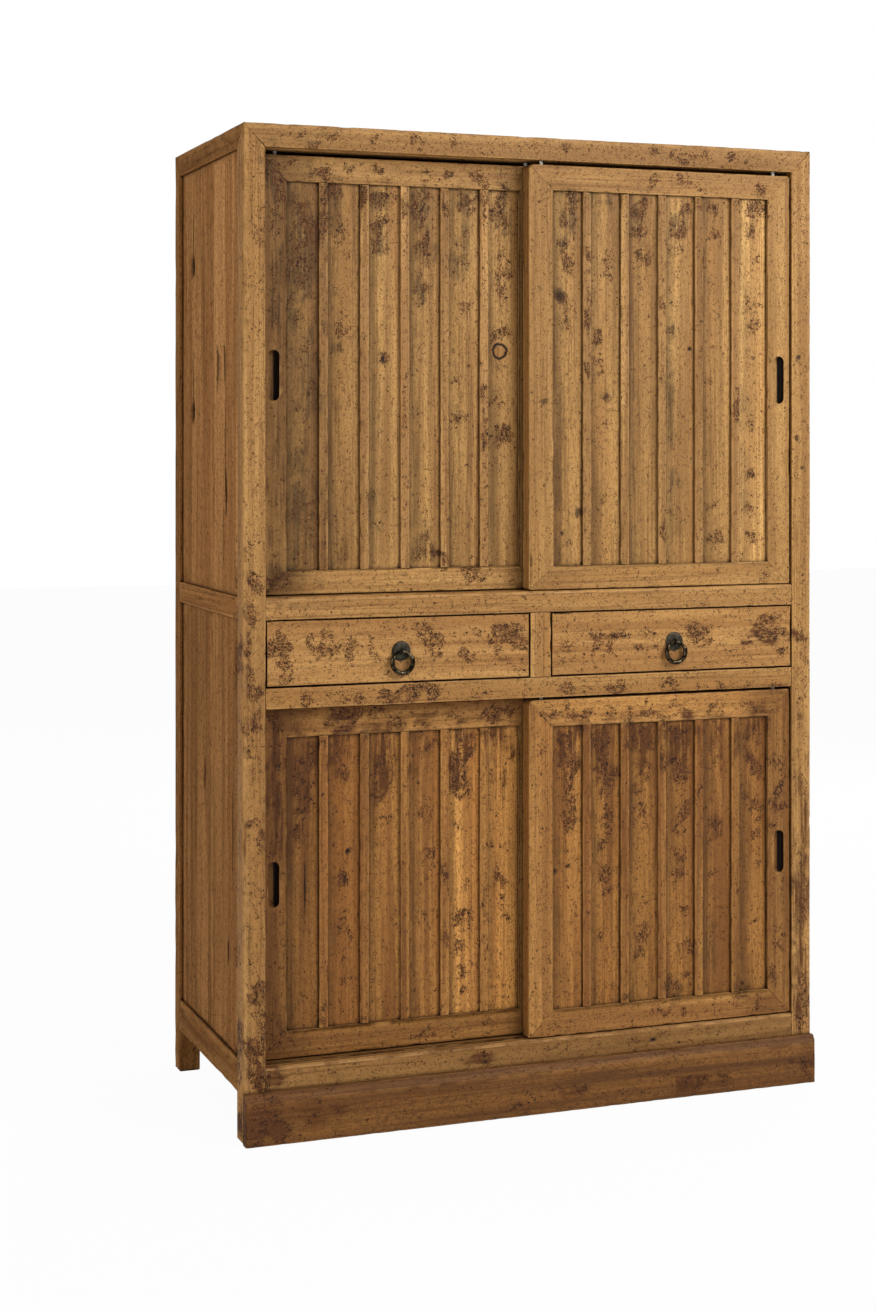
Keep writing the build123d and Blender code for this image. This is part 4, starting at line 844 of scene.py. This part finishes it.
NOISES = {  # features per metre along and across the grain, detail, roughness and distortion
    "streak": ((1.2, 36, 36), 7.0, 0.62, 0.0),
    "band": ((0.8, 17, 17), 3.0, 0.5, 0.0),
    "drift": ((1.6, 7, 7), 2.0, 0.5, 0.0),
    "line": ((1.0, 58, 58), 3.0, 0.55, 0.0),
    "pore": ((14, 230, 230), 3.0, 0.65, 0.0),
    "mottle": ((110, 240, 240), 3.0, 0.7, 0.0),
    "fibre": ((8, 420, 420), 3.0, 0.6, 0.0),
    "rubbed": ((30, 60, 60), 3.0, 0.5, 0.0),
    "patchy": ((16, 70, 70), 3.0, 0.6, 0.0),
    "streaky": ((7, 130, 130), 3.0, 0.6, 0.0),
    "cluster": ((45, 55, 55), 3.0, 0.6, 0.0),
    "curl": ((150, 185, 185), 4.0, 0.7, 1.5),
    "dot": ((200, 260, 260), 2.0, 0.6, 0.0),
    "shade": ((90, 90, 90), 1.0, 0.5, 0.0),
    "iron_patch": ((120, 120, 120), 4.0, 0.6, 0.0),
    "iron_grain": ((260, 260, 260), 3.0, 0.5, 0.0),
    "scuff": ((400, 400, 400), 3.0, 0.5, 0.0),
}
FLECK = rgb(50, 26, 10)
FLECK_PALE = rgb(88, 50, 24)
HAZE = rgb(124, 80, 42)
SOOT_AND_SHADE_TINT = (0.43, 0.46, 0.49, 1)  # what soot leaves of each colour, and the tint of the painted shade on the boards' left flanks
BROWN_DARK = rgb(80, 43, 11)
# the colour of the painted shade and grime in crevices and corners
CREVICE_SHADE_AND_GRIME = rgb(42, 22, 9)
# the colour of the painted shade in pits and in the right of a finger recess, and of the dark gap round the
# plug
PIT_BLACK = rgb(20, 10, 5)
# how far the painted crevice shade looks for nearby surfaces
CREVICE_SHADE_REACH = 0.011


LEVELS = {  # where a noise or mask starts and stops to count, and what it gives there
    "light": (0.42, 0.63, 0.0, 1.0),
    "warm": (0.48, 0.7, 0.0, 0.75),
    "drift": (0.4, 0.68, 0.0, 0.45),
    "pore": (0.55, 0.66, 0.0, 0.42),
    "mottle": (0.45, 0.66, 0.0, 0.6),
    "line": (0.93, 1.0, 0.0, 0.62),
    "line_in_band": (0.35, 0.6, 0.2, 1.0),
    "brown": (0.0, 1.3, 0.0, 0.9),
    "soot": (0.0, 1.3, 0.0, 0.85),
    "cluster": (0.36, 0.56, 0.4, 1.0),
    "density": (0.08, 0.72, 0.0, 1.0),
    "fleck": (0.592, 0.616, 0.0, 1.0),
    "haze": (0.3, 1.0, 0.0, 0.3),
    "dot": (0.62, 0.66, 0.0, 0.6),
    "shade": (0.35, 0.65, 0.0, 1.0),
    "flank_shade": (0.3, 0.6, 0.85, 0.51),
    "rubbed": (0.38, 0.6, 0.0, 0.5),
    "crevice_shade": (0.25, 0.85, 0.95, 0.0),
    "wood_rough": (0.3, 0.7, 0.48, 0.6),
    "iron_patch": (0.4, 0.65, 0.0, 1.0),
    "iron_rough": (0.3, 0.7, 0.6, 0.78),
    "scuff": (0.4, 0.7, 0.0, 1.0),
    "nylon_rough": (0.3, 0.7, 0.3, 0.5),
}
PORE_BROWN = 0.35
LINE_BROWN = 0.6
TONE_SPREAD = 0.07  # how much lighter the palest piece of a node is than its darkest
RAGGED = (("streak", 3.5), ("patchy", 3.0), ("streaky", 7.0))  # noises that break up old finish and soot
SOOT_FLECKS = 0.75
BROWN_FLECKS = 0.65
FLECK_GROWTH = 0.12
FLECK_COVER = 0.96
FLECK_ROUGH = 0.12
# how much the streaks break up the painted crevice shade and grime
SHADE_AND_GRIME_IN_STREAKS = -0.6
WOOD_RELIEF = {"fibre": 0.5, "streak": 0.8, "fleck": -0.8}
WOOD_BUMP = (0.55, 0.0008)  # strength, and depth in metres
IRON_BUMP = (0.4, 0.0006)


def figure(s, grain, light, dark, warm):
    """The clean wood: streaks of all widths along the grain, warm bands and thin dark lines."""
    streak, band = s.noise("streak", grain), s.noise("band", grain)
    spread = s.math("ADD", streak, s.product(s.attribute("tone"), TONE_SPREAD))
    colour = s.mix(s.level("light", spread), dark, light)
    colour = s.mix(s.level("warm", band), colour, warm)
    colour = s.mix(s.level("drift", s.noise("drift", grain)), colour, dark)
    colour = s.mix(s.level("pore", s.noise("pore", grain)), colour, s.mix(PORE_BROWN, dark, BROWN_DARK))
    colour = s.mix(s.level("mottle", s.noise("mottle", grain)), colour, dark)
    off_line = s.math("ABSOLUTE", s.math("MULTIPLY_ADD", s.noise("line", grain), 2.0, -1.0))
    line = s.level("line", s.math("SUBTRACT", 1.0, off_line))
    line = s.product(line, s.level("line_in_band", band))
    return s.mix(line, colour, s.mix(LINE_BROWN, dark, BROWN_DARK)), streak


def stained(s, grain, colour, streak, scattered):
    """Adds the old finish, the soot and the flecks; returns the colour and the fleck mask."""
    ragged = 1.0
    for name, strength in RAGGED:
        ragged = s.swing(streak if name == "streak" else s.noise(name, grain), strength, ragged)
    brown, soot = s.attribute("brown"), s.attribute("soot")
    colour = s.mix(s.level("brown", s.product(brown, ragged)), colour, BROWN_DARK)
    colour = s.mix(s.level("soot", s.product(soot, ragged)), colour, SOOT_AND_SHADE_TINT, "MULTIPLY")
    wanted = s.highest(
        s.attribute("flecks"), s.product(soot, SOOT_FLECKS), s.product(brown, BROWN_FLECKS), scattered
    )
    density = s.level("density", s.product(wanted, s.level("cluster", s.noise("cluster", grain))))
    grown = s.math("MULTIPLY_ADD", density, FLECK_GROWTH, s.noise("curl", grain))
    fleck = s.level("fleck", grown)
    colour = s.mix(s.level("haze", density), colour, HAZE)
    colour = s.mix(s.level("dot", s.noise("dot", grain)), colour, FLECK_PALE)
    shade = s.mix(s.level("shade", s.noise("shade", grain)), FLECK, FLECK_PALE)
    return s.mix(s.product(fleck, FLECK_COVER), colour, shade), fleck


def wood(name, light, dark, warm, worn_edge, scattered, finish):
    """Old waxed wood, with stains and painted shade where the piece's attributes ask for them."""
    shine, dull = finish
    s = Shader(name)
    grain = s.attribute("grain", "Vector")
    colour, streak = figure(s, grain, rgb(*light), rgb(*dark), rgb(*warm))
    colour = s.scaled(colour, s.attribute("lift", "Vector"))
    # painted shade with a grey stain on the left flank of each door board
    flank_shade = s.product(s.attribute("flank_shade"), s.level("flank_shade", streak))
    colour = s.mix(flank_shade, colour, SOOT_AND_SHADE_TINT, "MULTIPLY")
    colour, fleck = stained(s, grain, colour, streak, scattered)
    rubbed = s.product(s.attribute("edge"), s.level("rubbed", s.noise("rubbed", grain)))
    colour = s.mix(rubbed, colour, rgb(*worn_edge))
    # painted shade with grime: crevices and corners darken where other surfaces are near
    near = s.node("ShaderNodeAmbientOcclusion", {"samples": 8}, Distance=CREVICE_SHADE_REACH)
    crevice_shade_and_grime = s.level("crevice_shade", s.swing(streak, SHADE_AND_GRIME_IN_STREAKS, near.outputs["AO"]))
    pit = s.attribute("pit")
    # the lit left of a finger recess loses the painted crevice shade; the pits and the recess's right get
    # painted shadow
    crevice_shade_kept = s.math("ADD", 1.0, s.math("MINIMUM", pit, 0.0))
    colour = s.mix(s.product(crevice_shade_kept, crevice_shade_and_grime), colour, CREVICE_SHADE_AND_GRIME)
    colour = s.mix(pit, colour, PIT_BLACK)
    fibre = s.noise("fibre", grain)
    rough = s.math("MULTIPLY_ADD", fleck, FLECK_ROUGH, s.level("wood_rough", fibre, dull))
    height = s.math("MULTIPLY_ADD", fibre, WOOD_RELIEF["fibre"], s.product(streak, WOOD_RELIEF["streak"]))
    height = s.math("MULTIPLY_ADD", fleck, WOOD_RELIEF["fleck"], height)
    normal = s.bump(height, *WOOD_BUMP)
    return s.finish(Base_Color=colour, Roughness=rough, Normal=normal, Specular_IOR_Level=shine)


def iron(name, dark, light, polish):
    """Dark patinated iron, rubbed brighter in patches."""
    s = Shader(name)
    place = s.node("ShaderNodeTexCoord").outputs["Object"]
    patch = s.noise("iron_patch", place)
    colour = s.mix(s.level("iron_patch", patch), rgb(*dark), rgb(*light))
    rough = s.level("iron_rough", s.noise("iron_grain", place), -polish)
    return s.finish(Base_Color=colour, Roughness=rough, Normal=s.bump(patch, *IRON_BUMP), Metallic=1.0)


def nylon(name, clean, scuffed):
    s = Shader(name)
    scuff = s.noise("scuff", s.node("ShaderNodeTexCoord").outputs["Object"])
    colour = s.mix(s.level("scuff", scuff), rgb(*clean), rgb(*scuffed))
    return s.finish(Base_Color=colour, Roughness=s.level("nylon_rough", scuff))


WAXED = (0.2, 0.0)  # shine and added roughness
DRY = (0.04, 0.3)
WOODS = {  # light, dark, warm and worn-edge colours, how many flecks are scattered, and the finish
    "frame_wood": ((181, 136, 78), (147, 105, 56), (165, 116, 60), (196, 148, 90), 0.26, WAXED),
    "door_wood": ((179, 135, 77), (145, 104, 56), (163, 115, 60), (194, 147, 90), 0.18, WAXED),
    "board_wood": ((176, 132, 74), (130, 92, 48), (155, 107, 55), (188, 142, 84), 0.2, WAXED),
    "lower_door_wood": ((167, 119, 61), (127, 84, 40), (149, 97, 45), (184, 134, 76), 0.26, WAXED),
    "lower_board_wood": ((160, 110, 52), (112, 70, 30), (138, 86, 35), (178, 126, 66), 0.26, WAXED),
    "batten_wood": ((176, 132, 76), (132, 93, 50), (156, 107, 58), (192, 146, 88), 0.26, WAXED),
    "lower_batten_wood": ((160, 111, 54), (114, 72, 33), (140, 87, 39), (180, 128, 70), 0.26, WAXED),
    "drawer_wood": ((184, 137, 78), (154, 108, 58), (168, 116, 60), (196, 147, 90), 0.26, WAXED),
    "side_wood": ((178, 127, 73), (136, 91, 49), (154, 103, 56), (190, 136, 82), 0.26, DRY),
    "panel_wood": ((174, 122, 71), (130, 86, 46), (150, 98, 53), (188, 134, 82), 0.26, DRY),
    "plinth_wood": ((127, 84, 38), (88, 55, 24), (109, 66, 28), (158, 110, 58), 0.26, WAXED),
    "inner_wood": ((164, 122, 76), (124, 87, 51), (138, 93, 54), (176, 134, 86), 0.26, WAXED),
}
MATERIALS = {name: wood(name, *row) for name, row in WOODS.items()}
MATERIALS |= {
    "aged_iron": iron("aged_iron", (58, 54, 46), (90, 84, 70), 0.0),
    "ring_iron": iron("ring_iron", (28, 23, 17), (92, 80, 60), 0.45),
    "pin_nylon": nylon("pin_nylon", (250, 247, 238), (226, 214, 190)),
}

# ---- Which piece gets what --------------------------------------------------------------------

record = frame["record"]
slots = {part["node"]: part["material_slot"] for part in record["subparts"]}
body_of = {node: body for body, nodes in record["behaviour"]["bodies"].items() for node in nodes}
post_low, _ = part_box("front_post_left")
_, post_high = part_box("rear_post_right")
CASE_LOW = np.array([post_low.x, post_low.y, -0.1])  # below the floor, so the feet stay square
CASE_HIGH = np.array([post_high.x, post_high.y, post_high.z])
CASE = (CASE_LOW, CASE_HIGH, CASE_ARRIS)

GRAIN_ENDS = {
    "post_left": Z, "post_right": Z, "stiles": Z, "door_boards": Z, "back_boards": Z, "battens": Z,
    "panels_left": Z, "panels_right": Z, "jambs": Z, "divider": Z, "rails_left": Y, "rails_right": Y,
    "side_rails": Y, "bearers": Y, "runners": Y, "drawer_sides": Y,
}
BOARD_AXES = {  # across which axis the boards of a node touch
    "upper_left_door_boards": X, "upper_right_door_boards": X, "lower_left_door_boards": X,
    "lower_right_door_boards": X, "back_boards": X, "side_panels_left": Y, "side_panels_right": Y,
    "top_boards": Y, "upper_floor_boards": Y, "lower_floor_boards": Y, "drawer_dust_boards": Y,
}
PLAIN_NODES = ("rear_post", "side_", "back_", "top_boards", "top_back_rail", "top_side_rails")
CASE_NODES = ("front_post", "rear_post", "top_front_rail", "top_back_rail", "top_side_rails")


def grain_axis(node):
    """The axis that a node's wood runs along: X where its name has none of the endings."""
    return next((axis for end, axis in GRAIN_ENDS.items() if node.endswith(end)), X)


def dress():
    """Gives every CAD node its material or the piece that stands for it."""
    for node, plain in frame["nodes"].items():
        slot = slots[node]
        if node.endswith("_ring"):
            forged_ring(node)
        elif slot in ("aged_iron", "pin_nylon"):
            plain.data.materials.clear()
            plain.data.materials.append(MATERIALS[slot])
        else:
            material = "board_wood" if node.endswith("door_boards") else slot
            if node.startswith("lower_") and "_door_" in node:
                material = "lower_" + material
            envelope = CASE if node.startswith(CASE_NODES) else None
            grid = PLAIN_GRID if node.startswith(PLAIN_NODES) else FRONT_GRID
            if slot == "inner_wood":
                grid = INNER_GRID
            worn(node, grain_axis(node), material, envelope, grid)


def forged_ring(node):
    """A copy of a ring pull, thinnest in its eye and thicker below, that keeps the line of its back."""
    mesh = bmesh.new()
    mesh.from_mesh(frame["nodes"][node].data)
    bmesh.ops.remove_doubles(mesh, verts=mesh.verts, dist=WELD)
    mesh.normal_update()
    top = max(vertex.co.z for vertex in mesh.verts)
    for vertex in mesh.verts:
        swell = RING_SWELL * float(smooth_step(*RING_THIN, top - vertex.co.z))
        vertex.co += vertex.normal * swell + Vector((0, -swell, 0))
    piece = add_piece(mesh, node + "_forged", "ring_iron", body_of[node])
    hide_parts(node)


PLUG_CENTRE = (-0.0680, -0.2128, 1.4830)
PLUG_STEPS = 48
PLUG_RINGS = (  # radius and height in millimetres, and how dark, from the middle outwards
    (4.0, 0.9, 0), (8.0, 0.8, 0), (11.0, 0.6, 0.1), (12.2, 0.25, 0.8), (12.9, 0.0, 1), (14.9, 0.0, 1),
    (15.8, 0.25, 0.75), (17.0, 0.3, 0.2), (18.5, -0.6, 0),
)
PLUG_UNEVEN = ((3, 1, 0.04), (7, 0, 0.03), (11, 0, 0.02))  # waves round it, phase and strength
PLUG_MIDDLE = 0.9
PLUG_GRAIN_SHIFT = 3.7
PLUG_TONE = 0.9
PLUG_LIFT = 1.2


def plug():
    """The round wooden plug let into the upper left door, with the dark gap around it."""
    mesh = bmesh.new()
    pit = mesh.verts.layers.float.new("pit")

    def corner(radius, height, angle):
        uneven = 1 + sum(strength * math.sin(count * angle + phase) for count, phase, strength in PLUG_UNEVEN)
        across, up = radius * uneven * math.cos(angle), radius * uneven * math.sin(angle)
        return mesh.verts.new(Vector(PLUG_CENTRE) + Vector((across, -height, up)) / MM)

    centre = corner(0, PLUG_MIDDLE, 0)
    loops = []
    for radius, height, dark in PLUG_RINGS:
        loop = [corner(radius, height, 2 * math.pi * i / PLUG_STEPS) for i in range(PLUG_STEPS)]
        for vertex in loop:
            vertex[pit] = dark
        loops.append(loop)
    for i in range(PLUG_STEPS):
        j = (i + 1) % PLUG_STEPS
        mesh.faces.new((centre, loops[0][i], loops[0][j]))
        for inner, outer in zip(loops, loops[1:]):
            mesh.faces.new((inner[i], outer[i], outer[j], inner[j]))
    data = add_piece(mesh, "upper_left_door_plug", "board_wood", "upper_left_door").data
    points = read(data.vertices, "co", 3)
    write(data, "grain", points[:, [Z, X, Y]] + PLUG_GRAIN_SHIFT, "FLOAT_VECTOR")
    write(data, "tone", np.full(len(points), PLUG_TONE))
    write(data, "lift", np.full(points.shape, PLUG_LIFT), "FLOAT_VECTOR")


# ---- Studio and camera ------------------------------------------------------------------------


def studio_floor():
    """A pale floor that the camera sees almost white, with the object's faint shadow."""
    bpy.ops.mesh.primitive_plane_add(size=FLOOR_SIDE, location=(0, 0, 0))
    floor = bpy.context.active_object
    floor.name = "studio_floor"
    s = Shader("studio_floor")
    s.finish(Base_Color=FLOOR_COLOUR, Roughness=0.9)
    glow = s.node("ShaderNodeEmission", None, Color=WHITE, Strength=1.0)
    seen = s.node("ShaderNodeLightPath").outputs["Is Camera Ray"]
    blend = s.node("ShaderNodeMixShader", None, Fac=s.product(seen, FLOOR_GLOW))
    s.tree.links.new(s.surface.outputs[0], blend.inputs[1])
    s.tree.links.new(glow.outputs[0], blend.inputs[2])
    s.tree.links.new(blend.outputs[0], s.tree.nodes["Material Output"].inputs["Surface"])
    floor.data.materials.append(s.material)


def studio_world():
    """Soft light from all sides, which the camera sees as white."""
    world = bpy.data.worlds.new("studio")
    bpy.context.scene.world = world
    world.use_nodes = True
    tree = world.node_tree
    light = tree.nodes["Background"]
    light.inputs["Color"].default_value = WHITE
    light.inputs["Strength"].default_value = WORLD_LIGHT
    white = tree.nodes.new("ShaderNodeBackground")
    white.inputs["Color"].default_value = WHITE
    white.inputs["Strength"].default_value = 1.0
    path = tree.nodes.new("ShaderNodeLightPath")
    sight = tree.nodes.new("ShaderNodeMath")
    sight.operation = "MAXIMUM"
    mix = tree.nodes.new("ShaderNodeMixShader")
    tree.links.new(path.outputs["Is Camera Ray"], sight.inputs[0])
    tree.links.new(path.outputs["Is Transmission Ray"], sight.inputs[1])
    tree.links.new(sight.outputs[0], mix.inputs[0])
    tree.links.new(light.outputs[0], mix.inputs[1])
    tree.links.new(white.outputs[0], mix.inputs[2])
    tree.links.new(mix.outputs[0], tree.nodes["World Output"].inputs["Surface"])


def lamps():
    for name, place, target, side, power in LAMPS:
        data = bpy.data.lights.new(name, "AREA")
        data.shape = "RECTANGLE"
        data.size = data.size_y = side
        data.energy = power
        made = bpy.data.objects.new(name, data)
        made.location = place
        made.rotation_euler = (Vector(target) - Vector(place)).to_track_quat("-Z", "Y").to_euler()
        bpy.context.scene.collection.objects.link(made)


def camera():
    data = bpy.data.cameras.new("camera")
    data.sensor_fit = "HORIZONTAL"
    data.sensor_width = SENSOR
    data.lens = FOCAL_PIXELS / IMAGE_WIDTH * SENSOR
    data.shift_y = (HORIZON_ROW - IMAGE_HEIGHT / 2) / IMAGE_WIDTH
    made = bpy.data.objects.new("camera", data)
    made.location = CAMERA_PLACE
    made.rotation_euler = (math.pi / 2, 0, CAMERA_TURN)
    bpy.context.scene.collection.objects.link(made)
    bpy.context.scene.camera = made


bpy.context.scene.view_settings.view_transform = "Standard"
camera()
studio_floor()
studio_world()
lamps()
dress()
plug()
